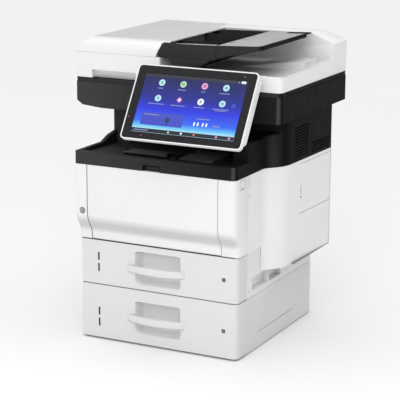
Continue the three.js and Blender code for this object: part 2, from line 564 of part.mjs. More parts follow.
piece('lid_end_stop', box(FLAP.x0, FLAP.x1, FLAP.y0, FLAP.y1, WEDGE.top - 1 - FLAP.thick, WEDGE.top - 1), WHITE);

// The cover ends in a thin lip over the throat; behind the throat it stops at the lid's rear wall.
function feederCover() {
  const room = alongY(outline([[SCAN.left - 1, FEEDER_Z], [LIP.foot, FEEDER_Z], [LIP.heel, LIP.z],
    [LIP.x, LIP.z], [LIP.x, LID_TOP - 0.6], [LIP.x - 4, LID_TOP + 1], [SCAN.left - 1, LID_TOP + 1]]),
  SCAN.front - 1, SCAN.rear + 1);
  const inner = box(SCAN.left, LIP.foot - 4, SCAN.front, SCAN.rear, FEEDER_Z - 1, LID_TOP);
  const wall = box(FEEDER.right - GAP, 0, OUTPUT.wall - GAP, SCAN.rear + 1, FEEDER_Z - 1, LID_TOP + 2);
  return cut(lidForm(0).intersect(room), lidForm(4).intersect(inner), wall);
}
piece('feeder_cover', feederCover(), LIGHT);
piece('feed_roller', union(
  rod('y', [-76, 594], 3, -76, 190, 10),
  ...[-2, 44].map((y) => rod('y', [-76, 594], 9.5, y - 16, y + 16, 16)),
), RUBBER);

// Sheets lie on a fixed throat, sunken between two side walls, and on a tray that folds up
// from its outer edge.
const TRAY = { x0: -40.6, fold: 97, x1: 198, y0: -113, y1: 146, wall: 14, z0: 633.3, zFold: 636.3, z1: 640.6 };
function feederThroat() {
  const t = TRAY;
  const side = outline([[-34, 604.4], [-8, 604], [-6, 591], [62, 591], [84, 604], [t.fold - GAP, 607.2],
    [t.fold - GAP, t.zFold - 0.1], [lipEdge(t.z0), t.z0], [lipEdge(607), 607]]);
  const sunk = alongY(outline([[t.x0 - 1, 611], [84, 620], [t.fold + 1, 632], [t.fold + 1, 650], [t.x0 - 1, 650]]),
    t.y0 + t.wall, t.y1 - t.wall);
  return cut(alongY(side, t.y0, t.y1), sunk);
}
piece('feeder_throat', feederThroat(), CHARCOAL);

function documentTray() {
  const t = TRAY;
  const side = outline([[t.fold + 3, 609], [180, 629], [t.x1, 632.6], [t.x1, t.z1], [t.fold, t.zFold],
    [t.fold + 0.5, t.zFold - 2]]);
  const body = alongY(side, t.y0, t.y1).intersect(plan(roundRect(t.fold - 1, t.x1, t.y0, t.y1, [0, 14, 6, 0]), 580, 650));
  const under = alongY(outline([[t.fold + 4, 600], [172, 600], [172, 633], [t.fold + 4, 630]]), t.y0 + 5, t.y1 - 5);
  const notch = alongY(outline([[150, 600], [t.x1 + 5, 600], [t.x1 + 5, t.z1 - 2.4], [150, t.z1 - 4.4]]), 116, t.y1 + 2);
  return cut(body, under, notch);
}
piece('document_tray', documentTray(), CHARCOAL);

function sideGuide(y, toward) {
  const tongue = y + toward * 26;
  const sole = alongY(outline([[-24, 612.9], [70, 619.8], [70, 622], [-24, 615.2]]), Math.min(y, tongue),
    Math.max(y, tongue));
  const fence = alongY(outline([[-24, 612.9], [70, 619.8], [70, 634], [-24, 631]]), y - 1.4, y + 1.4);
  return union(sole, fence);
}
const GUIDE_Y = { front: -42, rear: 78 };
piece('side_guide_front', sideGuide(GUIDE_Y.front, 1), CHARCOAL);
piece('side_guide_rear', sideGuide(GUIDE_Y.rear, -1), CHARCOAL);

// ---- touch panel --------------------------------------------------------------------
// Built lying flat, face up with its foot on the X axis, then tilted about that edge.
function tilted(body) {
  const mesh = body.getMesh();
  const geometry = new THREE.BufferGeometry();
  geometry.setAttribute('position', new THREE.BufferAttribute(new Float32Array(mesh.vertProperties), 3));
  geometry.setIndex(new THREE.BufferAttribute(new Uint32Array(mesh.triVerts), 1));
  geometry.rotateX(THREE.MathUtils.degToRad(PANEL.tilt));
  geometry.translate(PANEL.x, PANEL.y, PANEL.z);
  return solid(geometry);
}
const half = PANEL.w / 2;
const screen = { x0: -114, x1: 114.5, y0: 15, y1: 142 };
const displayModule = (grow) => box(-104 - grow, 104 + grow, 31 - grow, 134 + grow, -22 - grow, -2.5);
const knob = new THREE.Vector2(PANEL.pivotY - PANEL.y, PANEL.pivotZ - PANEL.z)
  .rotateAround(new THREE.Vector2(), -THREE.MathUtils.degToRad(PANEL.tilt));
const ARM = { half: 42, knuckle: 7, hole: 2.4 };

function panelHousing() {
  const rim = plan(roundRect(-half - 2.5, half + 2.5, -2.5, PANEL.h + 2.5, 9), -9, 0);
  const tray = cut(rim, plan(roundRect(-half, half, 0, PANEL.h, 7), -4, 2));
  const back = plan(roundRect(-half + 4, half - 1, 14, PANEL.h - 1, 9), -27, -8);
  const room = box(-half + 10, half - 10, 22, PANEL.h - 10, -24, -6.5);
  const ears = [-ARM.half - 14, ARM.half + 2].map((x) =>
    rod('x', [knob.x, knob.y], ARM.knuckle, x, x + 12, 16).add(
      box(x, x + 12, knob.x - ARM.knuckle, knob.x + ARM.knuckle, knob.y, -26)));
  const bore = rod('x', [knob.x, knob.y], ARM.hole + 0.4, -100, 100, 12);
  const cable = box(-20, 20, 60, 84, -30, -20);
  return cut(union(tray, back, ...ears), room, displayModule(1), bore, cable);
}
piece('panel_housing', tilted(panelHousing()), WHITE);
piece('panel_bezel', tilted(cut(
  plan(roundRect(-half + GAP, half - GAP, GAP, PANEL.h - GAP, 6.7), -3.7, -0.1),
  box(screen.x0, screen.x1, screen.y0, screen.y1, -5, 5),
)), BLACK);
piece('panel_screen', tilted(union(
  box(screen.x0 + GAP, screen.x1 - GAP, screen.y0 + GAP, screen.y1 - GAP, -3.7, -0.6),
  displayModule(0),
)), SCREEN);

function panelArm() {
  const x0 = PANEL.x - ARM.half;
  const x1 = PANEL.x + ARM.half;
  const plate = box(x0, x1, SCAN.front - 4.5, SCAN.front - GAP, 492, 538);
  const neck = alongX(outline([[SCAN.front - 4.6, 512], [SCAN.front - 4.4, 538], [PANEL.pivotY + 3, 551],
    [PANEL.pivotY - 3, 539]]), x0, x1);
  const barrel = rod('x', [PANEL.pivotY, PANEL.pivotZ], ARM.knuckle, x0, x1, 16);
  const pin = rod('x', [PANEL.pivotY, PANEL.pivotZ], ARM.hole, x0 - 14, x1 + 14, 12);
  return union(plate, neck, barrel, pin);
}
piece('panel_arm', panelArm(), CHARCOAL);

// ---- engine internals ---------------------------------------------------------------
// A steel chassis of two side plates joined at the top; the engine's units sit between them.
const CHASSIS = { left: -174, right: 172, y0: -132, y1: 196, z0: 224, z1: 378, thick: 1.6 };
function chassis() {
  const c = CHASSIS;
  const plates = [c.left, c.right - c.thick].map((x) => box(x, x + c.thick, c.y0, c.y1, c.z0, c.z1));
  const bridge = box(c.left, c.right, c.y0 + 20, c.y1 - 20, c.z1 - c.thick, c.z1);
  const tie = box(c.left, c.right, c.y1 - 20, c.y1 - 18.4, c.z0 + 40, c.z1);
  return union(plates[0], plates[1], bridge, tie);
}
piece('chassis', chassis(), STEEL);

piece('laser_unit', cut(box(-130, 130, -60, 90, 334, 372), box(-118, 118, -61, -40, 340, 352)), CHARCOAL);
function printCartridge() {
  const side = new THREE.Shape();
  side.moveTo(-128, 262);
  side.lineTo(-8, 262);
  side.lineTo(-8, 296);
  side.lineTo(-40, 326);
  side.lineTo(-118, 326);
  side.quadraticCurveTo(-138, 320, -138, 300);
  side.quadraticCurveTo(-138, 270, -128, 262);
  const handle = alongX(roundRect(-156, -130, 292, 308, [4, 0, 0, 4]), -46, 46, 4);
  const grasp = box(-38, 38, -150, -137, 285, 320);
  return cut(union(alongX(side, -150, 150, 5), handle), grasp);
}
piece('print_cartridge', printCartridge(), CHARCOAL);
piece('transfer_roller', union(
  rod('x', [-60, 246], 3, CHASSIS.left + 4, CHASSIS.right - 6, 10),
  rod('x', [-60, 246], 9, -112, 112, 16),
), RUBBER);

const FUSER = { y: 138, z: 282, r: 13, gap: 26.4 };
function fuserFrame() {
  const shell = box(-150, 150, FUSER.y - 34, FUSER.y + 34, 248, 326);
  const room = box(-140, 140, FUSER.y - 28, FUSER.y + 28, 240, 320);
  const way = box(-116, 116, FUSER.y - 8, FUSER.y + 8, 300, 340);
  const ports = [FUSER.y - FUSER.gap / 2, FUSER.y + FUSER.gap / 2].map((y) =>
    rod('x', [y, FUSER.z], 4.4, -160, 160, 12));
  return cut(shell, room, way, ...ports);
}
piece('fuser_frame', fuserFrame(), BLACK);
for (const [name, side] of [['fuser_roller', -1], ['pressure_roller', 1]]) {
  const centre = [FUSER.y + side * FUSER.gap / 2, FUSER.z];
  piece(name, union(rod('x', centre, 4, -155, 155, 12), rod('x', centre, FUSER.r, -118, 118, 20)), RUBBER);
}

piece('main_board', box(CHASSIS.right + 8, CHASSIS.right + 9.6, -40, 150, 232, 360)
  .add(box(CHASSIS.right + 9.5, CHASSIS.right + 20, 20, 60, 280, 320)), BOARD);
piece('power_inlet', union(
  cut(inletBlock(-1, REAR_Y - INLET.deep, REAR_Y - 0.2),
    box(INLET.x - 12, INLET.x + 12, REAR_Y - INLET.deep + 2, REAR_Y + 1, INLET.z - 8, INLET.z + 8)),
  ...[-6, 0, 6].map((x) => box(INLET.x + x - 1, INLET.x + x + 1, REAR_Y - INLET.deep + 1, REAR_Y - 6,
    INLET.z - 2, INLET.z + 2)),
), BLACK);

// Shift the machine so that its box stands centred on the origin.
const PANEL_FRONT = PANEL.y - 2.5 * Math.cos(THREE.MathUtils.degToRad(PANEL.tilt));
machine.position.set(-(SCAN.left + SCAN.right) / 2, -(PANEL_FRONT + SCAN.rear) / 2, 0);

export default machine;
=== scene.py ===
"""Looks of the photocopier: fine surfaces, materials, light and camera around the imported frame."""
import json
import math

import bmesh
import bpy
from mathutils import Matrix, Vector

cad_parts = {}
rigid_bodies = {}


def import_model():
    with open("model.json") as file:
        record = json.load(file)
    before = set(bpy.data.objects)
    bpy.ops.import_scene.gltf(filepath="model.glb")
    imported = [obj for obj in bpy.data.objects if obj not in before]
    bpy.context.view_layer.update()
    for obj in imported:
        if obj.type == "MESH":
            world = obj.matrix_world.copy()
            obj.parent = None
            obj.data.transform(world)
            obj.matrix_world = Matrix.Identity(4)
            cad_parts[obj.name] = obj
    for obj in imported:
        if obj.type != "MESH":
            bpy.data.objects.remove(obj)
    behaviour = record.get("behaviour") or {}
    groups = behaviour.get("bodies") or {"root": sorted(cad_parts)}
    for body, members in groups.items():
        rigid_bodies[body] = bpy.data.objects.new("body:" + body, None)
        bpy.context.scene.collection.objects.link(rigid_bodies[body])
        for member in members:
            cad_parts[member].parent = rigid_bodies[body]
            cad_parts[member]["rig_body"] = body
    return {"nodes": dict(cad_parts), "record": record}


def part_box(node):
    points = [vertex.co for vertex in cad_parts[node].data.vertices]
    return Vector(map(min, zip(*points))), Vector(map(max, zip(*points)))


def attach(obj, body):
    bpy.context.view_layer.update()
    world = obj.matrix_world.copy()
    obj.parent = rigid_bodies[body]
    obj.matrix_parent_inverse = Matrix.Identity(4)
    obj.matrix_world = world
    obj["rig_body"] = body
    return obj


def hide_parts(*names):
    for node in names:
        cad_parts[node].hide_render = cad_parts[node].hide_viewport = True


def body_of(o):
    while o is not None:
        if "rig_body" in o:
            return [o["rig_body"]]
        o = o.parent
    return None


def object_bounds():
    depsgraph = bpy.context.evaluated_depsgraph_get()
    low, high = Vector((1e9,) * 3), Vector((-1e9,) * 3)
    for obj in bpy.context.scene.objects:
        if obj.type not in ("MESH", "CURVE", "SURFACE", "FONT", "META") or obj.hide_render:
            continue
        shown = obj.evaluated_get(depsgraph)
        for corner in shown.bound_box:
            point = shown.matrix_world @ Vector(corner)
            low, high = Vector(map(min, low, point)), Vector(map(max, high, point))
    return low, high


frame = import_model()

CAD_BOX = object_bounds()
NODES = frame["nodes"]
MM = 0.001

# ---- places ----------------------------------------------
# The CAD source counts from the middle of the drawers and from a line 181 mm behind their
# face. at() turns its millimetres into the frame's metres.
DRAWER_LOW, DRAWER_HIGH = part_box("lower_drawer_front")
ORIGIN = Vector(((DRAWER_LOW.x + DRAWER_HIGH.x) / 2, DRAWER_LOW.y + 0.181, 0))


def at(x, y, z):
    return ORIGIN + Vector((x, y, z)) * MM


# ---- panel and display -----------------------------------
PANEL_TILT = math.radians(58)
PANEL_UP = (0, math.cos(PANEL_TILT), math.sin(PANEL_TILT))
PANEL_FOOT = at(79.8, -240, 458.5)
DISPLAY_RISE = 0.0156  # from the panel's foot to the display's
DISPLAY_TALL = 0.127
DISPLAY_FOOT = PANEL_FOOT.dot(Vector(PANEL_UP)) + DISPLAY_RISE


# ---- camera ----------------------------------------------
VIEW = {"azimuth": 26.86, "elevation": 13.67, "roll": 0.23, "distance": 3.29914, "lens": 138.33}
AIM = (CAD_BOX[0] + CAD_BOX[1]) / 2 + Vector((0.00486, -0.00707, -0.03485))


def make_camera():
    azimuth, elevation, roll = (math.radians(VIEW[key]) for key in ("azimuth", "elevation", "roll"))
    back = Vector((math.sin(azimuth) * math.cos(elevation), -math.cos(azimuth) * math.cos(elevation),
                   math.sin(elevation)))
    level = Vector((math.cos(azimuth), math.sin(azimuth), 0))
    upright = back.cross(level)
    right = level * math.cos(roll) + upright * math.sin(roll)
    up = upright * math.cos(roll) - level * math.sin(roll)
    data = bpy.data.cameras.new("camera")
    data.lens = VIEW["lens"]
    data.sensor_width = 36
    data.clip_start = 0.05
    data.clip_end = 50
    camera = bpy.data.objects.new("camera", data)
    bpy.context.scene.collection.objects.link(camera)
    place = AIM + back * VIEW["distance"]
    rows = [(right[i], up[i], back[i], place[i]) for i in range(3)]
    camera.matrix_world = Matrix([*rows, (0, 0, 0, 1)])
    bpy.context.scene.camera = camera


make_camera()


# ---- node helpers ----------------------------------------
def feed(tree, node, inputs):
    """Set a node's inputs; a value that is a socket is linked instead."""
    for key, value in inputs.items():
        if isinstance(value, bpy.types.NodeSocket):
            tree.links.new(value, node.inputs[key])
        else:
            node.inputs[key].default_value = value


def add(tree, kind, inputs=None, **settings):
    node = tree.nodes.new(kind)
    for key, value in settings.items():
        setattr(node, key, value)
    feed(tree, node, inputs or {})
    return node


LOOKS = {}


def new_material(name):
    """A material kept in LOOKS under its name: its node tree and its shader."""
    material = bpy.data.materials.new(name)
    material.use_nodes = True
    LOOKS[name] = material
    tree = material.node_tree
    return tree, tree.nodes["Principled BSDF"]


def place_of(tree, stretch=(1, 1, 1)):
    """Object coordinates in metres, scaled along each axis."""
    where = add(tree, "ShaderNodeTexCoord").outputs["Object"]
    return add(tree, "ShaderNodeMapping", {"Vector": where, "Scale": stretch}).outputs["Vector"]


def noise(tree, place, size, detail=2.0, rough=0.5):
    node = add(tree, "ShaderNodeTexNoise",
               {"Vector": place, "Scale": 1 / size, "Detail": detail, "Roughness": rough})
    return node.outputs["Fac"]


def remap(tree, value, low, high, to_low, to_high):
    node = add(tree, "ShaderNodeMapRange", {"Value": value, "From Min": low, "From Max": high,
                                            "To Min": to_low, "To Max": to_high})
    return node.outputs["Result"]


def times(tree, a, b):
    return add(tree, "ShaderNodeMath", {0: a, 1: b}, operation="MULTIPLY").outputs[0]


def plus(tree, a, b):
    return add(tree, "ShaderNodeMath", {0: a, 1: b}, operation="ADD").outputs[0]


def blend_color(tree, amount, a, b):
    node = add(tree, "ShaderNodeMix", {0: amount, 6: a, 7: b}, data_type="RGBA")
    return node.outputs[2]


def edge_of(tree, radius):
    """0 on faces, up to 1 on edges about radius wide."""
    soft = add(tree, "ShaderNodeBevel", {"Radius": radius}, samples=4).outputs["Normal"]
    flat = add(tree, "ShaderNodeNewGeometry").outputs["True Normal"]
    dot = add(tree, "ShaderNodeVectorMath", {0: soft, 1: flat}, operation="DOT_PRODUCT").outputs["Value"]
    return remap(tree, dot, 0.97, 0.72, 0, 1)


def crevice_of(tree, reach):
    """0 in the open, up to 1 in seams and corners, where shade falls."""
    open_sky = add(tree, "ShaderNodeAmbientOcclusion", {"Distance": reach}, samples=6).outputs["AO"]
    return remap(tree, open_sky, 0.75, 0.15, 0, 1)


def shade(color, factor):
    return (*[min(1, c * factor) for c in color[:3]], 1)


def bump(tree, height, depth):
    node = add(tree, "ShaderNodeBump", {"Height": height, "Distance": depth, "Strength": 1.0})
    return node.outputs["Normal"]


# ---- materials -------------------------------------------
def shaded_by_side(tree, base, underside_shade, right, across, corner, painted_front_light, over):
    """Painted light and shade: surfaces facing down, right or up, and those far to the right, are painted
    darker by their share of the colour.
    Surfaces facing ahead are painted paler, and corners rounded between ahead and right get a painted
    highlight."""
    geometry = add(tree, "ShaderNodeNewGeometry")
    facing = add(tree, "ShaderNodeSeparateXYZ", {0: geometry.outputs["Normal"]}).outputs
    spot = add(tree, "ShaderNodeSeparateXYZ", {0: geometry.outputs["Position"]}).outputs
    factor = 1.0
    # painted shade on surfaces facing down, right or up and far to the right; painted light on surfaces
    # facing ahead
    for value, start, full, share in ((facing["Z"], -0.15, -0.6, underside_shade), (facing["X"], 0.25, 0.95, right),
                                      (facing["Z"], 0.75, 0.98, over), (facing["Y"], -0.5, -0.9, painted_front_light),
                                      (spot["X"], -0.2, 0.16, across)):
        if share != 1:
            factor = times(tree, factor, remap(tree, value, start, full, 1.0, share))
    # painted highlight: rounded corners between ahead and right are made paler, as if they caught a strip
    # light
    if corner != 1:
        rise = remap(tree, facing["X"], 0.12, 0.5, 0, 1)
        fall = remap(tree, facing["X"], 0.62, 0.93, 1, 0)
        front = remap(tree, facing["Y"], -0.1, -0.3, 0, 1)
        glow = times(tree, times(tree, rise, fall), front)
        factor = times(tree, factor, remap(tree, glow, 0, 1, 1.0, corner))
    grey = add(tree, "ShaderNodeCombineColor", {0: factor, 1: factor, 2: factor}).outputs[0]
    node = add(tree, "ShaderNodeMix", {0: 1.0, 6: base, 7: grey}, data_type="RGBA", blend_type="MULTIPLY")
    return node.outputs[2]


def moulded(name, color, rough, grain=0.0007, depth=0.00005, mottle=0.02, worn=None, seam_dust_and_shade=0.82,
            gloss_level=0.5, underside_shade=0.72, right=1, across=1, corner=1, painted_front_light=1, over=1):
    """Moulded plastic: spark-eroded grain, slight clouding, polished edges, painted shade and dust in the
    seams, and light and shade painted by the way a surface faces.
    """
    tree, shader = new_material(name)
    place = place_of(tree)
    clouds = noise(tree, place, 0.09, 3)
    base = blend_color(tree, clouds, shade(color, 1 - mottle), shade(color, 1 + mottle))
    scuffs = remap(tree, noise(tree, place, 0.012, 4, 0.65), 0.42, 0.7, 0, 1)
    edge = times(tree, edge_of(tree, 0.0012), scuffs)
    base = blend_color(tree, edge, base, (*(worn or shade(color, 1.12)[:3]), 1))
    # painted shade and dust: darker in seams and corners, where the occlusion finds them
    base = blend_color(tree, crevice_of(tree, 0.006), base, shade(color, seam_dust_and_shade))
    # painted light and shade by the way the surface faces
    base = shaded_by_side(tree, base, underside_shade, right, across, corner, painted_front_light, over)
    gloss = remap(tree, noise(tree, place, 0.03, 4), 0.3, 0.7, rough - 0.05, rough + 0.05)
    feed(tree, shader, {"Base Color": base, "Roughness": gloss, "Specular IOR Level": gloss_level,
                        "Normal": bump(tree, noise(tree, place, grain, 3, 0.6), depth)})


def rubber(name, color, rib=0.0):
    """Rubber or a coated sleeve; rib is the pitch of a roller's ribs in metres."""
    tree, shader = new_material(name)
    place = place_of(tree)
    base = blend_color(tree, noise(tree, place, 0.01, 4), shade(color, 0.75), shade(color, 1.5))
    gloss = remap(tree, noise(tree, place, 0.004), 0.3, 0.7, 0.7, 0.9)
    height = noise(tree, place, 0.0009, 4, 0.7)
    if rib:
        wave = add(tree, "ShaderNodeTexWave", {"Vector": place, "Scale": 1 / rib / 6.3, "Distortion": 0.0},
                   bands_direction="X").outputs["Fac"]
        height = plus(tree, height, wave)
    feed(tree, shader, {"Base Color": base, "Roughness": gloss, "Normal": bump(tree, height, 0.0002)})


def steel(name, color, rough):
    """Sheet or rod with a grain drawn along x."""
    tree, shader = new_material(name)
    grain = noise(tree, place_of(tree, (1, 40, 40)), 0.02, 6, 0.6)
    clouds = noise(tree, place_of(tree), 0.03, 3)
    base = blend_color(tree, clouds, shade(color, 0.86), shade(color, 1.06))
    gloss = remap(tree, grain, 0.3, 0.7, rough - 0.08, rough + 0.12)
    feed(tree, shader, {"Base Color": base, "Metallic": 1.0, "Roughness": gloss,
                        "Normal": bump(tree, grain, 0.00004)})


def clear_glass(name):
    tree, shader = new_material(name)
    place = place_of(tree)
    base = blend_color(tree, noise(tree, place, 0.05, 4), (0.80, 0.90, 0.89, 1), (0.86, 0.94, 0.93, 1))
    film = remap(tree, noise(tree, place, 0.03, 5), 0.45, 0.75, 0.02, 0.12)
    feed(tree, shader, {"Base Color": base, "Roughness": film, "Transmission Weight": 0.85, "IOR": 1.5})


def cover_glass(name, color):
    """Black cover glass of the panel, with faint finger smears."""
    tree, shader = new_material(name)
    smear = noise(tree, place_of(tree, (1, 1, 2.2)), 0.02, 5, 0.6)
    base = blend_color(tree, smear, shade(color, 0.8), shade(color, 1.5))
    gloss = remap(tree, smear, 0.4, 0.75, 0.06, 0.22)
    feed(tree, shader, {"Base Color": base, "Roughness": gloss, "Specular IOR Level": 0.2})


def lit(name, color, strength):
    """Part of the picture on the display, or a lamp."""
    tree, shader = new_material(name)
    cells = noise(tree, place_of(tree), 0.0015, 2)
    glow = blend_color(tree, cells, shade(color, 0.86), shade(color, 1.08))
    feed(tree, shader, {"Emission Color": glow, "Emission Strength": strength, "Roughness": 0.2,
                        "Base Color": (0.02, 0.02, 0.03, 1), "Specular IOR Level": 0.15})


def display(name):
    """The lit display: navy at the top, blue below, a pale horizon near the foot."""
    tree, shader = new_material(name)
    place = place_of(tree)
    up = add(tree, "ShaderNodeVectorMath", {0: place, 1: PANEL_UP}, operation="DOT_PRODUCT").outputs["Value"]
    wavy = plus(tree, up, times(tree, noise(tree, place, 0.05, 2), 0.006))
    height = remap(tree, wavy, DISPLAY_FOOT, DISPLAY_FOOT + DISPLAY_TALL, 0, 1)
    ramp = add(tree, "ShaderNodeValToRGB", {"Fac": height})
    steps = [(0.06, (0.62, 0.95, 0.98, 1)), (0.13, (0.16, 0.60, 0.98, 1)),
             (0.21, (0.05, 0.16, 0.95, 1)), (0.42, (0.035, 0.050, 0.80, 1)),
             (0.60, (0.025, 0.035, 0.33, 1)), (0.90, (0.022, 0.028, 0.13, 1))]
    marks = ramp.color_ramp.elements
    while len(marks) < len(steps):
        marks.new(0.5)
    for mark, (share, color) in zip(marks, steps):
        mark.position = share
        mark.color = color
    smear = remap(tree, noise(tree, place, 0.02, 5, 0.6), 0.4, 0.75, 0.12, 0.26)
    feed(tree, shader, {"Emission Color": ramp.outputs["Color"], "Emission Strength": 0.95,
                        "Base Color": (0.01, 0.01, 0.02, 1), "Roughness": smear, "Specular IOR Level": 0.15})


def board(name):
    """Green circuit board: solder mask with copper tracks showing through."""
    tree, shader = new_material(name)
    place = place_of(tree)
    tracks = add(tree, "ShaderNodeTexBrick",
                 {"Vector": place, "Scale": 90.0, "Mortar Size": 0.06, "Color1": (0.02, 0.16, 0.06, 1),
                  "Color2": (0.03, 0.22, 0.09, 1), "Mortar": (0.16, 0.34, 0.10, 1)}).outputs["Color"]
    base = blend_color(tree, noise(tree, place, 0.02, 3), tracks, (0.02, 0.13, 0.05, 1))
    gloss = remap(tree, noise(tree, place, 0.01), 0.3, 0.7, 0.3, 0.45)
    feed(tree, shader, {"Base Color": base, "Roughness": gloss,
                        "Normal": bump(tree, noise(tree, place, 0.003), 0.0001)})


def grey(level):
    return level, level, level


# The shares after a colour paint shade and light into it: darker on surfaces facing down, facing right, far
# to the right or facing up, paler on front faces, and a painted highlight on rounded front-right corners.
moulded("shell_white", (0.86, 0.86, 0.855), 0.42, worn=(0.93, 0.93, 0.92), underside_shade=0.66)
moulded("lid_white", grey(0.86), 0.40, worn=grey(0.92))
# cover_white is lid_white with painted shade on its tops.
moulded("cover_white", grey(0.86), 0.40, worn=grey(0.92), over=0.8)
# base_white and unit_white are darker copies of the white for the lower body, painted shade; unit_white is
# also painted darker on its right side.
moulded("base_white", grey(0.80), 0.42, worn=grey(0.87))
moulded("unit_white", grey(0.76), 0.42, worn=grey(0.84), right=0.93)
moulded("pad_white", (0.88, 0.88, 0.87), 0.6, grain=0.002, depth=0.0001)
BLACK = {"grain": 0.0009, "depth": 0.00008, "mottle": 0.12}
# body_black: painted shade on right-facing surfaces and towards the right, and a painted highlight on rounded
# front-right corners.
moulded("body_black", (0.052, 0.052, 0.053), 0.44, worn=(0.045, 0.045, 0.047), seam_dust_and_shade=0.5, gloss_level=0.02,
        right=0.4, across=0.3, corner=5, **BLACK)
# trim_charcoal: painted shade on right-facing surfaces and painted light on front faces.
moulded("trim_charcoal", (0.016, 0.016, 0.017), 0.46, worn=(0.055, 0.055, 0.057), seam_dust_and_shade=0.5, gloss_level=0.03,
        right=0.5, painted_front_light=2.2, **BLACK)
# deck_black is a paler black for the deck lying in the scanner's shadow, painted light, with painted shade on
# right-facing surfaces.
moulded("deck_black", (0.085, 0.085, 0.087), 0.5, seam_dust_and_shade=0.6, gloss_level=0.02, right=0.2, **BLACK)
moulded("cartridge_black", (0.03, 0.03, 0.034), 0.4, worn=grey(0.09), seam_dust_and_shade=0.5)
moulded("gauge_black", grey(0.012), 0.5, mottle=0.1, worn=grey(0.03), seam_dust_and_shade=0.6)
moulded("tray_grey", (0.55, 0.56, 0.57), 0.48, worn=grey(0.7))
moulded("plate_grey", (0.44, 0.445, 0.45), 0.48, worn=grey(0.6))
moulded("button_grey", (0.27, 0.275, 0.28), 0.35, worn=grey(0.7))
moulded("seam_grey", grey(0.22), 0.55, mottle=0.08, worn=grey(0.3))
moulded("mark_grey", grey(0.30), 0.5, mottle=0.06, worn=grey(0.4))
# crease_grey paints grooves and creases darker than the shell: painted shade in them.
moulded("crease_grey", grey(0.52), 0.5, mottle=0.04, worn=grey(0.6))
moulded("tag_grey", grey(0.14), 0.45, mottle=0.05, worn=grey(0.25))
moulded("release_green", (0.05, 0.30, 0.16), 0.4, worn=(0.12, 0.42, 0.25), seam_dust_and_shade=0.6)
moulded("cork", (0.34, 0.20, 0.11), 0.8, grain=0.0016, depth=0.0002, mottle=0.25, seam_dust_and_shade=0.7)
rubber("roller_rubber", (0.035, 0.035, 0.038), rib=0.002)
rubber("foot_rubber", grey(0.02))
rubber("fuser_sleeve", (0.20, 0.11, 0.08))
steel("plated_steel", (0.62, 0.62, 0.63), 0.32)
steel("polished_steel", (0.72, 0.72, 0.73), 0.18)
clear_glass("platen_glass")
cover_glass("panel_black", (0.012, 0.012, 0.014))
display("display")
board("board_green")
lit("lit_white_soft", (0.80, 0.85, 0.82), 0.35)
lit("lit_white", (0.90, 0.97, 1.0), 1.1)
lit("lit_cyan", (0.52, 0.86, 0.92), 1.0)
lit("lit_teal", (0.05, 0.30, 0.42), 0.8)
lit("lit_green", (0.55, 0.85, 0.50), 0.9)
lit("lit_leaf", (0.12, 0.42, 0.16), 0.8)
lit("lit_leaf_dark", (0.01, 0.10, 0.16), 0.6)
lit("lit_pink", (0.95, 0.42, 0.75), 0.9)
lit("lit_rose", (0.45, 0.05, 0.16), 0.8)
lit("lit_navy", (0.01, 0.02, 0.10), 0.7)
lit("lit_blue", (0.20, 0.30, 0.85), 0.8)
lit("lit_amber", (0.90, 0.30, 0.12), 0.8)
lit("lit_caption", (0.30, 0.36, 0.72), 0.8)
lit("lit_haze", (0.07, 0.10, 0.72), 0.8)
lit("lit_grey", (0.045, 0.045, 0.06), 0.8)
lit("lit_dark", (0.012, 0.02, 0.03), 0.8)


# ---- surfaces of the CAD nodes ---------------------------
EDGE = 0.8             # mm, how far the edges are rounded
SHARP = 32             # degrees, edges sharper than this are rounded and stay crisp
WELD = 0.00002         # m, closer corners are one


def new_group(name):
    """An empty geometry node group, with its input and output sockets."""
    group = bpy.data.node_groups.new(name, "GeometryNodeTree")
    for way in ("INPUT", "OUTPUT"):
        group.interface.new_socket("Geometry", in_out=way, socket_type="NodeSocketGeometry")
    return group, add(group, "NodeGroupInput").outputs[0], add(group, "NodeGroupOutput").inputs[0]


def smooth_group(limit):
    """Node group that shades smooth, apart from edges sharper than limit degrees."""
    name = f"smooth_{limit}"
    if name in bpy.data.node_groups:
        return bpy.data.node_groups[name]
    group, start, end = new_group(name)
    faces = add(group, "GeometryNodeSetShadeSmooth", {0: start, "Shade Smooth": True}, domain="FACE")
    angle = add(group, "GeometryNodeInputMeshEdgeAngle").outputs[0]
    gentle = add(group, "FunctionNodeCompare", {0: angle, 1: math.radians(limit)},
                 data_type="FLOAT", operation="LESS_EQUAL").outputs[0]
    edges = add(group, "GeometryNodeSetShadeSmooth", {0: faces.outputs[0], "Shade Smooth": gentle},
                domain="EDGE")
    group.links.new(edges.outputs[0], end)
    return group


def shade_smooth(piece, limit):
    piece.modifiers.new("smooth", "NODES").node_group = smooth_group(limit)


def round_sharp(piece, width, limit):
    """Round the edges sharper than limit degrees by width millimetres."""
    bevel = piece.modifiers.new("bevel", "BEVEL")
    bevel.width = width * MM
    bevel.segments = 2
    bevel.limit_method = "ANGLE"
    bevel.angle_limit = math.radians(limit)
    bevel.use_clamp_overlap = True
    return bevel


# Flat faces with holes in them stay as the CAD cut them.
HOLED = {
    "engine_base", "feed_unit_case", "fuser_frame", "laser_unit", "lower_drawer_tray", "upper_drawer_tray",
    "panel_bezel", "panel_housing", "rear_cover", "right_column", "scan_carriage", "scanner_bezel",
}
SLOTS = {s["node"]: s["material_slot"] for s in frame["record"]["subparts"]}
OWN_LOOKS = {"feed_unit_case": "unit_white", "engine_base": "base_white", "output_stop": "deck_black",
             "feeder_cover": "cover_white"}
OWN_EDGES = {
    "panel_screen": 0.2, "platen_glass": 0.4, "main_board": 0.3, "chassis": 0.3, "lid_hinge": 0.3,
    "carriage_rail": 0.5, "lower_lift_plate": 0.4, "upper_lift_plate": 0.4, "power_inlet": 0.4,
    "lid_base": 1.2, "feeder_cover": 1.2, "scanner_tub": 1.2, "output_tray": 1.0, "right_cover": 1.0,
    "panel_housing": 1.0, "panel_bezel": 0.4,
}


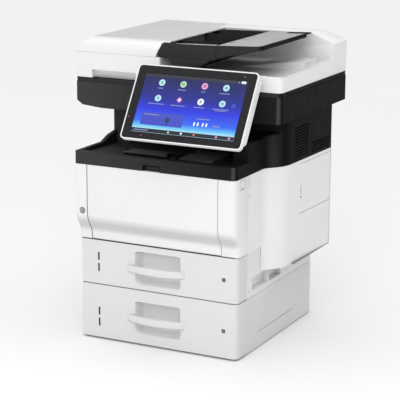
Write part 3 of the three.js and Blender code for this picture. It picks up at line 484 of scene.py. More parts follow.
def dress(node, piece):
    """Paint a CAD node, weld its facets, merge the flat ones and round its sharp edges."""
    piece.data.materials.clear()
    piece.data.materials.append(LOOKS[OWN_LOOKS.get(node, SLOTS[node])])
    piece.modifiers.new("weld", "WELD").merge_threshold = WELD
    if node not in HOLED:
        flat = piece.modifiers.new("flat", "DECIMATE")
        flat.decimate_type = "DISSOLVE"
        flat.angle_limit = math.radians(0.5)
    round_sharp(piece, OWN_EDGES.get(node, EDGE), SHARP).miter_outer = "MITER_ARC"
    shade_smooth(piece, SHARP)
    piece.modifiers.new("weight", "WEIGHTED_NORMAL").keep_sharp = True


for cad_node, cad_piece in NODES.items():
    dress(cad_node, cad_piece)


# ---- fine pieces: making them ----------------------------
class Face:
    """A place on the machine: u and v run along the surface and n out of it, in millimetres."""

    def __init__(self, origin, u, v):
        self.origin = Vector(origin)
        self.u = Vector(u)
        self.v = Vector(v)
        self.n = self.u.cross(self.v)

    def at(self, u, v, n=0.0):
        return self.origin + (self.u * u + self.v * v + self.n * n) * MM


def front_face(y):
    return Face(at(0, y, 0), (1, 0, 0), (0, 0, 1))


def right_face(x):
    return Face(at(x, 0, 0), (0, 1, 0), (0, 0, 1))


def left_face(x):
    return Face(at(x, 0, 0), (0, -1, 0), (0, 0, 1))


def rear_face(y):
    return Face(at(0, y, 0), (-1, 0, 0), (0, 0, 1))


def top_face(z):
    return Face(at(0, 0, z), (1, 0, 0), (0, 1, 0))


def sloping_face(x, z, run, rise):
    """A face that climbs to the right by rise over run."""
    slope = math.atan2(rise, run)
    return Face(at(x, 0, z), (math.cos(slope), 0, math.sin(slope)), (0, 1, 0))


def side_box(x, y0, y1, z0, z1, radius):
    """The face on the side at x, and on it the box between those places along y and z."""
    if x > 0:
        return right_face(x), (y0, y1, z0, z1, radius)
    return left_face(x), (-y1, -y0, z0, z1, radius)


def new_piece(name, shape, look, node):
    """A bmesh as a piece of its own that rides with a CAD node's body."""
    mesh = bpy.data.meshes.new(name)
    shape.to_mesh(mesh)
    shape.free()
    mesh.materials.append(LOOKS[look])
    piece = bpy.data.objects.new(name, mesh)
    bpy.context.scene.collection.objects.link(piece)
    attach(piece, body_of(NODES[node])[0])
    return piece


def loft(name, loops, look, node, width=0.3, limit=SHARP, closed=False):
    """A solid through loops with the same number of points; the ends are capped."""
    shape = bmesh.new()
    rows = [[shape.verts.new(p) for p in loop] for loop in loops]
    pairs = list(zip(rows, rows[1:]))
    if closed:
        pairs.append((rows[-1], rows[0]))
    for a, b in pairs:
        for i in range(len(a)):
            j = (i + 1) % len(a)
            shape.faces.new((a[i], a[j], b[j], b[i]))
    if not closed:
        shape.faces.new(rows[0])
        shape.faces.new(rows[-1])
    bmesh.ops.recalc_face_normals(shape, faces=shape.faces)
    piece = new_piece(name, shape, look, node)
    if width:
        round_sharp(piece, width, limit)
    shade_smooth(piece, limit)
    return piece


def around(u, v, wide, tall, angles):
    """Points on an ellipse about (u, v), at those angles in degrees."""
    turns = [math.radians(angle) for angle in angles]
    return [(u + wide * math.cos(turn), v + tall * math.sin(turn)) for turn in turns]


def rounded(u0, u1, v0, v1, radius, steps=5):
    """Points of a box with round corners."""
    points = []
    corners = [(u1 - radius, v1 - radius, 0), (u0 + radius, v1 - radius, 90),
               (u0 + radius, v0 + radius, 180), (u1 - radius, v0 + radius, 270)]
    for u, v, start in corners:
        points += around(u, v, radius, radius, [start + 90 * i / steps for i in range(steps + 1)])
    return points


def plate(name, face, points, low, high, look, node, width=0.3):
    """A flat piece with that outline, from n = low to n = high."""
    return loft(name, [[face.at(u, v, n) for u, v in points] for n in (low, high)], look, node, width)


def pad(name, face, box, low, high, look, node, width=0.3):
    """A plate with round corners; box is (u0, u1, v0, v1, radius)."""
    return plate(name, face, rounded(*box), low, high, look, node, width)


def pads(name, face, boxes, low, high, look, node, width=0.3):
    """A pad on each box, numbered from 1."""
    for i, box in enumerate(boxes, 1):
        pad(f"{name}_{i}", face, box, low, high, look, node, width)


def stack(name, face, layers, look, node, width=0.3):
    """A solid through boxes with round corners; each layer is (n, box)."""
    return loft(name, [[face.at(u, v, n) for u, v in rounded(*box)] for n, box in layers], look, node, width)


def rim(name, face, box, walls, low, high, look, node, width=0.3):
    """A flat frame; walls are its thickness along u, the same along v, and the radius of its hole."""
    u0, u1, v0, v1, radius = box
    wide, tall, hole_radius = walls
    outer = rounded(u0, u1, v0, v1, radius)
    inner = rounded(u0 + wide, u1 - wide, v0 + tall, v1 - tall, hole_radius)
    loops = [[face.at(u, v, n) for u, v in points]
             for points, n in ((outer, low), (outer, high), (inner, high), (inner, low))]
    return loft(name, loops, look, node, width, closed=True)


def turned(name, face, centre, profile, look, node, sides=24):
    """A round piece turned about the face's normal; profile lists (radius, n) from foot to top."""
    angles = [360 * i / sides for i in range(sides)]
    loops = [[face.at(u, v, n) for u, v in around(*centre, radius, radius, angles)] for radius, n in profile]
    return loft(name, loops, look, node, 0.0, limit=40)


def screw(name, face, centre, node, look="plated_steel", radius=2.6):
    """A pan head with a hollow drive."""
    steps = [(1, -0.2), (1, 0.25), (0.86, 0.75), (0.5, 1.0), (0.36, 0.95), (0.30, 0.2), (0.05, 0.15)]
    return turned(name, face, centre, [(radius * share, n) for share, n in steps], look, node, 18)


def grid_skin(name, columns, rows, place, look, node, thick):
    """A moulded skin over a grid of places, thickened inwards by thick millimetres."""
    shape = bmesh.new()
    verts = [[shape.verts.new(place(c, r)) for r in rows] for c in columns]
    for i in range(len(columns) - 1):
        for j in range(len(rows) - 1):
            shape.faces.new((verts[i][j], verts[i + 1][j], verts[i + 1][j + 1], verts[i][j + 1]))
    piece = new_piece(name, shape, look, node)
    wall = piece.modifiers.new("wall", "SOLIDIFY")
    wall.thickness = thick * MM
    wall.offset = -1
    shade_smooth(piece, 45)
    return piece


def spread(marks, fine, coarse):
    """Places from the first mark to the last: fine steps near the inner marks, coarse elsewhere."""
    places = [marks[0]]
    inner = marks[1:-1]
    while places[-1] < marks[-1] - 1e-6:
        here = places[-1]
        near_by = min(abs(here - m) for m in inner)
        step = fine if near_by < 7 * fine else min(coarse, max(fine, near_by * 0.25))
        places.append(min(marks[-1], here + step))
    return places


def ease(value):
    """A smooth step from 0 to 1."""
    value = max(0.0, min(1.0, value))
    return value * value * (3 - 2 * value)


# ---- drawers ---------------------------------------------
# Heights in millimetres: the front from z0 to z1, the grip bar and the gauge in it, and the tray's floor,
# top and underside.
DRAWERS = {
    "lower": {"z0": 3.5, "z1": 120.9, "bar": 51, "gauge": 29, "floor": 13.7, "top": 95, "foot": 10},
    "upper": {"z0": 122.5, "z1": 218.2, "bar": 160, "gauge": 150, "floor": 132.2, "top": 196, "foot": 128.5},
}
DRAWER_Y = -181
DRAWER_HALF = 183.5
DRAWER_SIDE_Y = -138
LEFT_CORNER = 3
RIGHT_CORNER = 12
POCKET = (-57, 52)            # left and right end of the grip recess
POCKET_REACH = (-26, 45)      # its foot and top, from the grip bar
POCKET_DEEP = 22.5
GAUGE_X = -141.5
BAR_START = -75.5             # left end of the grip bar
BAR_LENGTH = 140


def drawer_profile():
    """Plan of a drawer front from its left rear to its right rear: (x, y) and the way out of the surface."""
    left, right = POCKET
    flat = [-DRAWER_HALF + 4, GAUGE_X, left, left + 13, right - 6, right, DRAWER_HALF - 13]
    points = [(-DRAWER_HALF, DRAWER_SIDE_Y, -1, 0), (-DRAWER_HALF, -165, -1, 0)]
    for radius, x, start in ((LEFT_CORNER, -DRAWER_HALF + LEFT_CORNER, 180),
                             (RIGHT_CORNER, DRAWER_HALF - RIGHT_CORNER, 270)):
        for i in range(9):
            turn = math.radians(start + 90 * i / 8)
            points.append((x + radius * math.cos(turn), DRAWER_Y + radius + radius * math.sin(turn),
                           math.cos(turn), math.sin(turn)))
        if start == 180:
            points += [(x_flat, DRAWER_Y, 0, -1) for x_flat in spread(flat, 1.1, 12)]
    return points + [(DRAWER_HALF, -155, 1, 0), (DRAWER_HALF, DRAWER_SIDE_Y, 1, 0)]


def pocket_depth(x, z, bar):
    """Depth of the grip recess: a soft ramp on the left and below, steep sides elsewhere."""
    left, right = POCKET
    foot, top = (bar + reach for reach in POCKET_REACH)
    ramps = ((x - left) / 12.5, (right - x) / 4.5, (z - foot) / 8.5, (top - z) / 4.0)
    if min(ramps) <= 0:
        return 0.0
    corner = sum(max(0.0, 1.9 - ramp) ** 3 for ramp in ramps) ** (1 / 3)
    return POCKET_DEEP * ease(max(0.0, 1.9 - corner))


def drawer_front(name, d):
    """One bowed skin with the grip recess sunk in, the gauge's slits and a small tag."""
    profile = drawer_profile()
    foot, top = (d["bar"] + reach for reach in POCKET_REACH)
    rows = spread([d["z0"], d["z0"] + 1.5, d["gauge"], foot, foot + 8, top - 4, top, d["z1"] - 1.5,
                   d["z1"]], 1.1, 9)
    lip = 1.2

    def place(c, z):
        x, y, nx, ny = profile[c]
        edge = min(z - d["z0"], d["z1"] - z)
        inward = lip - math.sqrt(max(0.0, lip ** 2 - (lip - min(lip, edge)) ** 2))
        if ny == -1:
            inward += pocket_depth(x, z, d["bar"])
        return at(x - nx * inward, y - ny * inward, z)

    node = f"{name}_drawer_front"
    piece = grid_skin(f"{name}_front_skin", range(len(profile)), rows, place, "unit_white", node, 3.4)
    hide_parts(node)
    face = front_face(DRAWER_Y)
    slits = [(GAUGE_X - 1.9, GAUGE_X + 1.9, z, z + 18, 1.2) for z in (d["gauge"], d["gauge"] + 24.5)]
    pads(f"{name}_gauge_slit", face, slits, -1.2, 0.25, "gauge_black", node, 0.2)
    dome = [(2.2, -0.6), (2.2, 0.2), (1.5, 0.6), (0.2, 0.7)]
    turned(f"{name}_gauge_dot", face, (GAUGE_X, d["gauge"] + 21.2), dome, "shell_white", node)
    z = d["bar"] + 6
    rim(f"{name}_tag_frame", face, (145.8, 158.2, z - 1.2, z + 11.2, 1.4), (1.8, 1.8, 0.8), -0.5, 0.5,
        "shell_white", node, 0.2)
    pad(f"{name}_tag", face, (147.5, 156.5, z + 0.5, z + 9.5, 0.8), -0.5, 0.15, "tag_grey", node, 0.1)


def drawer_handle(name, d):
    """A bowed bar: its ends run into the face and its section is rounded all round."""
    loops = []
    steps = 36
    sides = 20
    for i in range(steps + 1):
        t = i / steps
        bow = 4 * t * (1 - t)
        end = min(1.0, min(t, 1 - t) * BAR_LENGTH / 7)
        swell = math.sqrt(max(0.0, 1 - (1 - end) ** 2))
        out = 0.6 + 13.2 * bow * (0.94 + 0.06 * bow) + 0.8 * swell
        thick = 6.2 + 1.2 * bow
        tall = (7.4 + 1.0 * bow) * (0.62 + 0.38 * swell)
        loop = []
        for k in range(sides):
            turn = 2 * math.pi * k / sides
            c = math.cos(turn)
            s = math.sin(turn)
            across = math.copysign(abs(c) ** 0.62, c) * tall
            deep = math.copysign(abs(s) ** 0.62, s) * thick / 2 * max(0.25, swell)
            y = DRAWER_Y - out + thick / 2 - deep
            loop.append(at(BAR_START + BAR_LENGTH * t, y, d["bar"] + 7 + across))
        loops.append(loop)
    node = f"{name}_drawer_handle"
    piece = loft(f"{name}_grip", loops, "unit_white", node, 0.0, limit=50)
    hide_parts(node)


for side, sizes in DRAWERS.items():
    drawer_front(side, sizes)
    drawer_handle(side, sizes)

# ---- touch panel -----------------------------------------
PANEL_FACE = Face(PANEL_FOOT, (1, 0, 0), PANEL_UP)
GLASS = -0.6           # the display lies this much under the panel's front
ICONS = [              # (u, v, kind, half the caption's width)
    (-72.5, 124, "cyan", 6), (-24.3, 124, "green", 9), (23.4, 124, "pink", 5), (71.1, 124, "cyan", 12),
    (-72.5, 90, "cyan", 19), (-24.3, 90, "diamond", 17), (23.4, 90, "white", 13), (71.1, 90, "cyan", 19),
]
ICON_LOOKS = {"cyan": ("lit_cyan", "lit_teal"), "green": ("lit_green", "lit_leaf"),
              "pink": ("lit_pink", "lit_rose"), "white": ("lit_white", "lit_navy")}


def lit_plate(name, points, look, low=0.0, high=0.2, width=0.03):
    """Part of the picture: a thin plate between those heights over the display."""
    plate(name, PANEL_FACE, points, GLASS + low, GLASS + high, look, "panel_screen", width)


def lit_bar(name, u0, u1, v0, v1, look, radius=0.6, high=0.15):
    corner = min(radius, (u1 - u0) / 2.1, (v1 - v0) / 2.1)
    lit_plate(name, rounded(u0, u1, v0, v1, corner, 3), look, -0.1, high)


def lit_dot(name, u, v, profile, look, sides):
    rise = [(radius, GLASS + n) for radius, n in profile]
    turned(name, PANEL_FACE, (u, v), rise, look, "panel_screen", sides)


def app_icon(base, u, v, kind, six_sided):
    """A disc with a six-sided or an upright mark, or a diamond."""
    if kind == "diamond":
        quarters = (0, 90, 180, 270)
        lit_plate(base, around(u, v, 6.2, 6.2, quarters), "lit_pink", -0.1, 0.15, 0.05)
        lit_plate(f"{base}_mark", around(u, v, 2.4, 2.4, quarters), "lit_white", 0.0, 0.25, 0.05)
        return
    disc, mark = ICON_LOOKS[kind]
    lit_dot(base, u, v, [(7.0, -0.1), (7.0, 0.1), (6.7, 0.15)], disc, 28)
    shape = around(u, v, 3.4, 3.0, (90, 150, 200, 270, 320, 20))
    if not six_sided:
        shape = rounded(u - 2.2, u + 2.2, v - 3.0, v + 3.0, 1.0, 3)
    lit_plate(f"{base}_mark", shape, mark, width=0.05)
    lit_plate(f"{base}_core", rounded(u - 1.1, u + 1.1, v - 1.4, v + 0.9, 0.4, 2), disc, high=0.3)


for number, (u, v, kind, half) in enumerate(ICONS, 1):
    app_icon(f"icon_{number}", u, v, kind, number % 2 == 0)
    lit_bar(f"icon_{number}_caption", u - half, u + half * 0.9, v - 13.2, v - 11.4, "lit_caption")
lit_bar("icon_8_caption_two", 58, 82, 74, 75.6, "lit_caption")
lit_bar("status_bar", -113.6, 114.1, 135.2, 141.6, "lit_grey", 0.3, 0.05)
lit_bar("status_mark_one", 93.5, 97.5, 136.4, 140.4, "lit_blue", 1.8)
lit_bar("status_mark_two", 101, 110.5, 136, 141, "lit_white", 1)
lit_bar("page_mark", 92, 100, 84, 92, "lit_haze", 1)
lit_bar("widget_sheet", -98, -4, 31.5, 58.5, "lit_haze", 1.5, 0.05)
lit_bar("widget_line", -94, -60, 53, 55, "lit_caption")
swells = [1.1 if i % 2 else 0.85 for i in range(9)]
crown = [around(-39, 45, 6.5 * swell, 5.2 * swell, [40 * i])[0] for i, swell in enumerate(swells)]
lit_plate("widget_tree_crown", crown, "lit_leaf_dark")
lit_plate("widget_tree_stem", [(-40.2, 34), (-37.8, 34), (-38.6, 43), (-39.4, 43)], "lit_navy")
for i, u in enumerate((20, 28, 39, 47), 1):
    lit_bar(f"clock_block_{i}", u, u + 3.4, 38.6, 46.4, "lit_white", 1.4)
lit_bar("clock_date", 24, 54, 53, 55, "lit_caption")
lit_bar("clock_part", 62, 78, 40, 43, "lit_caption")
lit_bar("navigation_bar", -113.6, 114.1, 15.6, 23.5, "lit_dark", 0.3, 0.05)
lit_bar("navigation_caption", -108, -76, 18.4, 20.6, "lit_caption")
NAVIGATION = [(-30, "green"), (-1.5, "white"), (27, "amber"), (76, "pink"), (104, "pink")]
for i, (u, color) in enumerate(NAVIGATION, 1):
    lit_dot(f"navigation_mark_{i}", u, 19.6, [(2.3, 0), (2.3, 0.12), (1.6, 0.2)], f"lit_{color}", 16)
for name, u, v, look in (("panel_lamp_left", -126, 45, "lit_rose"), ("panel_lamp_foot", -88, 8, "lit_rose"),
                         ("panel_sensor", 105, 151, "tag_grey")):
    turned(name, PANEL_FACE, (u, v), [(1.7, -0.3), (1.7, 0.0), (1.2, 0.15)], look, "panel_bezel", 16)


# ---- pieces with larger rounded edges --------------------
def millimetres(point):
    """Row metres to the machine's millimetres."""
    return (point - ORIGIN) / MM


def keep_inside(low, high):
    """Node group that holds a rounded piece between two corners."""
    group, start, end = new_group("keep_inside")
    place = add(group, "GeometryNodeInputPosition").outputs[0]
    for operation, corner in (("MAXIMUM", low), ("MINIMUM", high)):
        place = add(group, "ShaderNodeVectorMath", {0: place, 1: corner}, operation=operation).outputs[0]
    move = add(group, "GeometryNodeSetPosition", {"Geometry": start, "Position": place})
    group.links.new(move.outputs[0], end)
    return group


def round_edges(node, rules, rest=0.5, segments=4, bend=None):
    """A copy of a CAD node in its own box, with some edges rounded more than the rest. A rule is (radius,
    test) for edges with both ends passing the test."""
    source = NODES[node]
    shape = bmesh.new()
    shape.from_mesh(source.data)
    shape.transform(source.matrix_world)
    bmesh.ops.remove_doubles(shape, verts=shape.verts, dist=WELD)
    if bend:
        bend(shape)
    weight = shape.edges.layers.float.new("bevel_weight_edge")
    largest = max([rest] + [radius for radius, test in rules])
    for edge in shape.edges:
        if len(edge.link_faces) != 2 or edge.calc_face_angle(0) < math.radians(25):
            continue
        a, b = (millimetres(vert.co) for vert in edge.verts)
        edge[weight] = next((radius for radius, test in rules if test(a) and test(b)), rest) / largest
    piece = new_piece(f"{node}_round", shape, SLOTS[node], node)
    bevel = piece.modifiers.new("bevel", "BEVEL")
    bevel.limit_method = "WEIGHT"
    bevel.width = largest * MM
    bevel.segments = segments
    bevel.use_clamp_overlap = False
    corners = [vert.co for vert in piece.data.vertices]
    low, high = ([pick(c[i] for c in corners) for i in range(3)] for pick in (min, max))
    piece.modifiers.new("inside", "NODES").node_group = keep_inside(low, high)
    shade_smooth(piece, 35)
    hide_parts(node)


def near(value, target):
    return abs(value - target) < 0.4


THROAT_Y = -113        # front of the feeder's throat and tray
LID_FOOT = 570
round_edges("feeder_throat", [
    (9, lambda p: p.x < -20 and near(p.y, THROAT_Y)),
    (3, lambda p: near(p.y, THROAT_Y) and p.z > 630),
    (2.5, lambda p: near(p.y, THROAT_Y)),
], rest=0.8)
round_edges("document_tray", [
    (2.5, lambda p: near(p.y, THROAT_Y) and p.x > 99),
    (1.6, lambda p: p.x > 190),
])
round_edges("lid_base", [
    (10, lambda p: near(p.y, 158) and near(p.z, LID_FOOT)),
    (5, lambda p: near(p.x, 236) and near(p.z, LID_FOOT)),
    (5, lambda p: near(p.y, -108) and near(p.z, LID_FOOT)),
    (2.6, lambda p: near(p.z, 583) and p.y < 157 and p.x > -20),
])


def bent(points, reaches):
    """A line through those points with its corners drawn as curves."""
    line = [points[0]]
    for before, corner, after, reach in zip(points, points[1:], points[2:], reaches):
        a, b, c = Vector(before), Vector(corner), Vector(after)
        start, end = b + (a - b).normalized() * reach, b + (c - b).normalized() * reach
        for i in range(9):
            t = i / 8
            line.append(tuple(start * (1 - t) ** 2 + b * (2 * t * (1 - t)) + end * t * t))
    return line + [points[-1]]


def depth_at(line, z):
    """The y of a line of (y, z) points, listed from the top down."""
    for (y0, z0), (y1, z1) in zip(line, line[1:]):
        if z1 <= z <= z0:
            return y0 + (y1 - y0) * (z0 - z) / (z0 - z1)
    return line[0][0] if z > line[0][1] else line[-1][0]


FRONT_Y = -200
CAD_LINE = [(FRONT_Y, 383), (FRONT_Y, 268), (DRAWER_Y, 240), (DRAWER_Y, 219)]
BEND_REACHES = (13, 9)
FACE_LINE = bent(CAD_LINE, BEND_REACHES)


def bend_face(shape):
    """Turn the two bends of the front face into curves; the wall behind it follows, less and less."""
    for y, z in FACE_LINE[1:-1]:
        bmesh.ops.bisect_plane(shape, geom=shape.verts[:] + shape.edges[:] + shape.faces[:], dist=0.000001,
                               plane_co=at(0, 0, z), plane_no=(0, 0, 1))
    for vert in shape.verts:
        p = millimetres(vert.co)
        behind = p.y - depth_at(CAD_LINE, p.z)
        if behind < 10:
            shift = depth_at(FACE_LINE, p.z) - depth_at(CAD_LINE, p.z)
            vert.co.y += shift * min(1, (10 - behind) / 6) * MM


for node in ("front_door", "front_strip_left", "front_strip_right"):
    round_edges(node, [], segments=3, bend=bend_face)

# ---- document feeder: top plate, strip, throat ribs ------
TRAY_TOP = sloping_face(97, 636.3, 198 - 97, 640.6 - 636.3)
THROAT_FRONT = front_face(THROAT_Y)
THROAT_TOP = sloping_face(-27, 633.3, 124, 3)
THROAT_FLOOR = sloping_face(-41.6, 611, 125.6, 9)
LID_TOP = top_face(637)
plate("tray_plate", TRAY_TOP,
      [(2.5, 142), (2.5, -109.5), (84, -109.5), (90, -108), (94.5, -104), (96, -98), (96, 112), (94, 113),
       (54, 113.5), (52, 116), (52, 142)], -0.8, 0.18, "plate_grey", "document_tray", 0.12)
# The tray's slots are black pads: painted shade in the openings.
tray_slots = [(5, u, v, v + 4, 1.6) for u, v in ((18, -62), (22, -8), (18, 40))]
pads("tray_slot", TRAY_TOP, tray_slots, -0.5, 0.3, "gauge_black", "document_tray", 0.1)
for i, (v, high) in enumerate(((-84, 0.45), (-30, 0.45), (20, 0.45), (66, 0.4)), 1):
    pad(f"tray_rib_{i}", TRAY_TOP, (26, 88, v, v + 2.2, 1), -0.5, high, "plate_grey", "document_tray", 0.15)
plate("fold_filler", THROAT_FRONT, [(96.4, 607.6), (99.4, 609.6), (97.15, 634), (96.4, 635.6)], -3, -0.1,
      "trim_charcoal", "feeder_throat", 0.0)
# A thin dark plate on the lower front of the throat stands for its lower lip: painted shade on the lip.
plate("throat_tab", THROAT_FRONT, [(-7.6, 603.4), (-6.2, 591.4), (61.6, 591.4), (78, 600.8), (81, 603.4)],
      -0.5, 0.15, "gauge_black", "feeder_throat", 0.08)
plate("throat_strip", THROAT_TOP,
      [(30, -108.2), (60, -109.8), (123, -110.2), (123, -101), (70, -101), (34, -106.6)], -0.8, 0.2,
      "tray_grey", "feeder_throat", 0.12)
throat_ribs = [(18, 120, v, v + 2, 0.9) for v in (-92, -12, 30)]
pads("throat_rib", THROAT_FLOOR, throat_ribs, -0.4, 1.3, "trim_charcoal", "feeder_throat")
pad("throat_mark", THROAT_FLOOR, (60, 66, -78, -66, 1), -0.3, 0.35, "tag_grey", "feeder_throat", 0.1)
plate("cover_lip_strip", LID_TOP, [(-17.5, 146), (-17.5, -78), (-16.2, -80), (-14.9, -78), (-14.9, 146)],
      -0.9, -0.35, "lid_white", "feeder_cover", 0.1)
# The finger groove on the feeder cover is a grey line: painted shade in the groove.
arc = [(-62 + 2.2 * math.sin(math.pi * i / 12), 14 + 50 * i / 12) for i in range(13)]
plate("cover_finger_mark", LID_TOP, arc + [(x - 1.3, y) for x, y in reversed(arc)], -0.5, 0.0,
      "crease_grey", "feeder_cover", 0.05)


# ---- seams: dark plates in the gaps, painted shadow ------
def band_points(half, front):
    """Plan of a front piece with its two corner radii, open at the back."""
    points = [(-half, -142)]
    for radius, x, start in ((LEFT_CORNER, -half + LEFT_CORNER, 180),
                             (RIGHT_CORNER, half - RIGHT_CORNER, 270)):
        points += around(x, front + radius, radius, radius, range(start, start + 91, 15))
    return points + [(half, -142)]


FLOOR = top_face(0)
# Dark plates set into the gap under the front door, the gap between the drawers and the foot of the bulge:
# painted shadow in the seams.
plate("engine_seam_shadow", FLOOR, band_points(183.1, -180.4), 218.35, 219.3, "gauge_black", "engine_base", 0.1)
plate("unit_seam_shadow", FLOOR, band_points(182.6, -180), 121.1, 122.3, "seam_grey", "engine_base", 0.1)
pad("bulge_foot_seam_shadow", right_face(0), (8, 202, 165.9, 167.4, 0.6), 215.2, 224.25, "seam_grey", "right_cover",
    0.1)

# ---- right side ------------------------------------------
COVER_SIDE = right_face(185)
BASE_SIDE = right_face(183.5)
BULGE_SIDE = right_face(219.9)
# The port cover's seam and grip notch are dark grey lines: painted shadow in the gap and the notch.
rim("port_cover_seam", COVER_SIDE, (-178, -154.5, 359, 379, 2.2), (0.9, 0.9, 1.6), -0.6, 0.12, "seam_grey",
    "front_strip_right", 0.05)
pad("port_cover_grip", COVER_SIDE, (-170, -162, 360.8, 362.4, 0.7), -0.4, 0.25, "seam_grey",
    "front_strip_right", 0.1)
port_marks = [(-133.4, -131.2, z, z + tall, 0.9)
              for z, tall in ((375.5, 3.4), (369.5, 2.6), (364.2, 3.0), (358.6, 3.4))]
pads("port_mark", COVER_SIDE, port_marks, -0.4, 0.15, "mark_grey", "right_cover", 0.05)
turned("port_lamp", COVER_SIDE, (-132, 339.5), [(1.5, -0.3), (1.5, 0.1), (0.9, 0.3)], "mark_grey",
       "right_cover", 14)
# The pin hole is a dark grey disc: painted shade in the hole.
turned("side_pin_hole", BASE_SIDE, (-129, 136), [(1.6, -0.5), (1.6, 0.15), (1.1, 0.15)], "mark_grey",
       "engine_base", 14)
tab_foot = [BASE_SIDE.at(u, v, -0.3) for u, v in ((96, 41), (128, 41), (137, 36), (137, 33), (96, 33))]
tab_top = [BASE_SIDE.at(u, v, 1) for u, v in ((99, 40), (126, 40), (133, 36), (133, 34), (99, 34))]
loft("side_rail_tab", [tab_foot, tab_top], "unit_white", "feed_unit_case")
# The rear pin hole is a dark grey disc: painted shade in the hole.
turned("side_pin_hole_rear", BASE_SIDE, (149.7, 57.8), [(1.8, -0.5), (1.8, 0.15), (1.2, 0.15)], "mark_grey",
       "feed_unit_case", 14)
# The groove on the bulge is a grey strip and its pin hole a black disc: painted shade in the groove and the
# hole.
pad("cover_groove", BULGE_SIDE, (48.6, 51, 308, 328, 1.1), -1.0, 0.12, "crease_grey", "right_cover", 0.05)
turned("cover_pin_hole", BULGE_SIDE, (49.5, 303), [(1.7, -1.0), (1.7, 0.1), (1.0, 0.1)], "gauge_black",
       "right_cover", 14)

# ---- front -----------------------------------------------
FRONT = front_face(FRONT_Y)
BUTTON = (-168.7, 284)
collar = [(7.1, -0.3), (7.0, 0.12), (6.5, 0.25), (5.75, -0.05), (5.42, -0.3), (5.42, -2.6)]
turned("button_collar", FRONT, BUTTON, collar, "seam_grey", "front_strip_left", 36)
pad("button_mark", FRONT, (-169.05, -168.35, 284.6, 287, 0.3), 0.8, 1.12, "tray_grey", "power_button", 0.03)
sweep = range(125, 416, 15)
ring = around(*BUTTON, 2.5, 2.5, sweep) + around(*BUTTON, 1.8, 1.8, sweep)[::-1]
plate("button_mark_ring", FRONT, ring, 0.8, 1.12, "tray_grey", "power_button", 0.03)
# Dark plates in the gaps beside and under the front door, along its bent profile: painted shadow in the
# seams.
DOOR_LINE = bent([(-200.08, 382), (-200.08, 268), (-181.08, 240), (-181.08, 221)], BEND_REACHES)
DOOR_BAND = DOOR_LINE + [(y + 1.2, z) for y, z in reversed(DOOR_LINE)]
for side, x, half, look, u0, u1 in (("left", -156.95, 0.62, "gauge_black", -182, -157),
                                    ("right", 146.4, 0.42, "tag_grey", 147, 176)):
    strip = f"front_strip_{side}"
    plate(f"door_seam_{side}", right_face(x), DOOR_BAND, -half, half, look, strip, 0.05)
    pad(f"door_foot_{side}", front_face(-180.9), (u0, u1, 219.2, 220.5, 0.4), -1.5, 0.15, "gauge_black",
        strip, 0.1)

# ---- output bay ------------------------------------------
DECK = top_face(401.6)
ramp = [(-1, (30, 112, -150, -62, 5)), (3, (31, 111, -149, -63, 5)), (6.2, (36, 106, -144, -68, 5))]
step = [(-1, (9, 27, -150, -104, 3)), (3.6, (10, 26, -149, -105, 3)), (5, (12, 24, -147, -107, 3))]
stack("bay_ramp", DECK, ramp, "deck_black", "output_tray", 0.8)
stack("bay_ramp_step", DECK, step, "trim_charcoal", "output_tray", 0.6)
deck_ribs = [(x - 1.2, x + 1.2, -166, 60, 1.1) for x in (118, 140)]
pads("deck_rib", DECK, deck_ribs, -3.0, 1.6, "deck_black", "output_tray", 0.5)
hooks = [(x, x + 4.5, -149, -128, 1.5) for x in (-95.5, 1.0)]
pads("stop_hook", top_face(409), hooks, -1.0, 1.4, "trim_charcoal", "output_stop", 0.5)
pad("latch_pull", front_face(-189.6), (-20, 10, 385, 392.5, 1.2), -1.5, 3.4, "trim_charcoal", "output_tray",
    0.6)

# ---- rear and left side ----------------------------------
REAR = rear_face(207)
UNIT_REAR = rear_face(202)
SCREWS = [             # group, face, node, look, places from the left and from the floor
    ("rear", REAR, "rear_cover", "plated_steel",
     ((-174, 373), (-174, 178), (20, 373), (20, 178), (212, 373), (212, 178))),
    ("bay", REAR, "bay_cover", "gauge_black", ((-170, 438), (-170, 476), (136, 438), (136, 476))),
    ("base", UNIT_REAR, "engine_base", "plated_steel", ((-164, 135), (164, 135))),
    ("unit", UNIT_REAR, "feed_unit_case", "plated_steel", ((-164, 22), (164, 22), (-164, 108), (164, 108))),
]
for group, face, node, look, places in SCREWS:
    for i, (x, z) in enumerate(places, 1):
        screw(f"{group}_screw_{i}", face, (-x, z), node, look)


def rear_rim(name, box, walls, low, high, look, width):
    rim(name, REAR, box, walls, low, high, look, "rear_cover", width)


def rear_pad(name, box, low, high, look, width):
    pad(name, REAR, box, low, high, look, "rear_cover", width)


# The rear door's seam is a dark grey line and the pull's pocket a dark grey pad: painted shade in the gap and
# the recess.
rear_rim("rear_door_seam", (-45, 118, 212, 366, 7), (0.8, 0.8, 6.2), -0.5, 0.1, "seam_grey", 0.04)
rear_rim("rear_door_pull", (14, 62, 346, 360, 6), (2.4, 2, 4.4), -0.4, 1.1, "shell_white", 0.4)
rear_pad("rear_door_pull_pocket", (16, 60, 347.6, 358.4, 4.6), -0.4, 0.2, "seam_grey", 0.1)
rear_rim("vent_frame", (-154, -56, 245, 312, 4), (1.8, 1.8, 3), -0.4, 0.7, "shell_white", 0.25)
rear_rim("port_plate", (-206, -150, 186, 212, 2.5), (2.4, 2.4, 1.5), -0.4, 0.8, "shell_white", 0.25)
rear_pad("port_plate_steel", (-203.8, -152.2, 188.2, 209.8, 1.5), -0.4, 0.25, "plated_steel", 0.1)
SOCKETS = [(-200, -186, 192, 206), (-181, -171, 193, 204), (-166, -156, 196, 201)]
for i, (u0, u1, v0, v1) in enumerate(SOCKETS, 1):
    rear_rim(f"port_{i}", (u0, u1, v0, v1, 0.9), (1, 1, 0.6), 0.0, 1.0, "polished_steel", 0.15)
    rear_pad(f"port_{i}_socket", (u0 + 0.9, u1 - 0.9, v0 + 0.9, v1 - 0.9, 0.6), 0.0, 0.4, "gauge_black", 0.05)
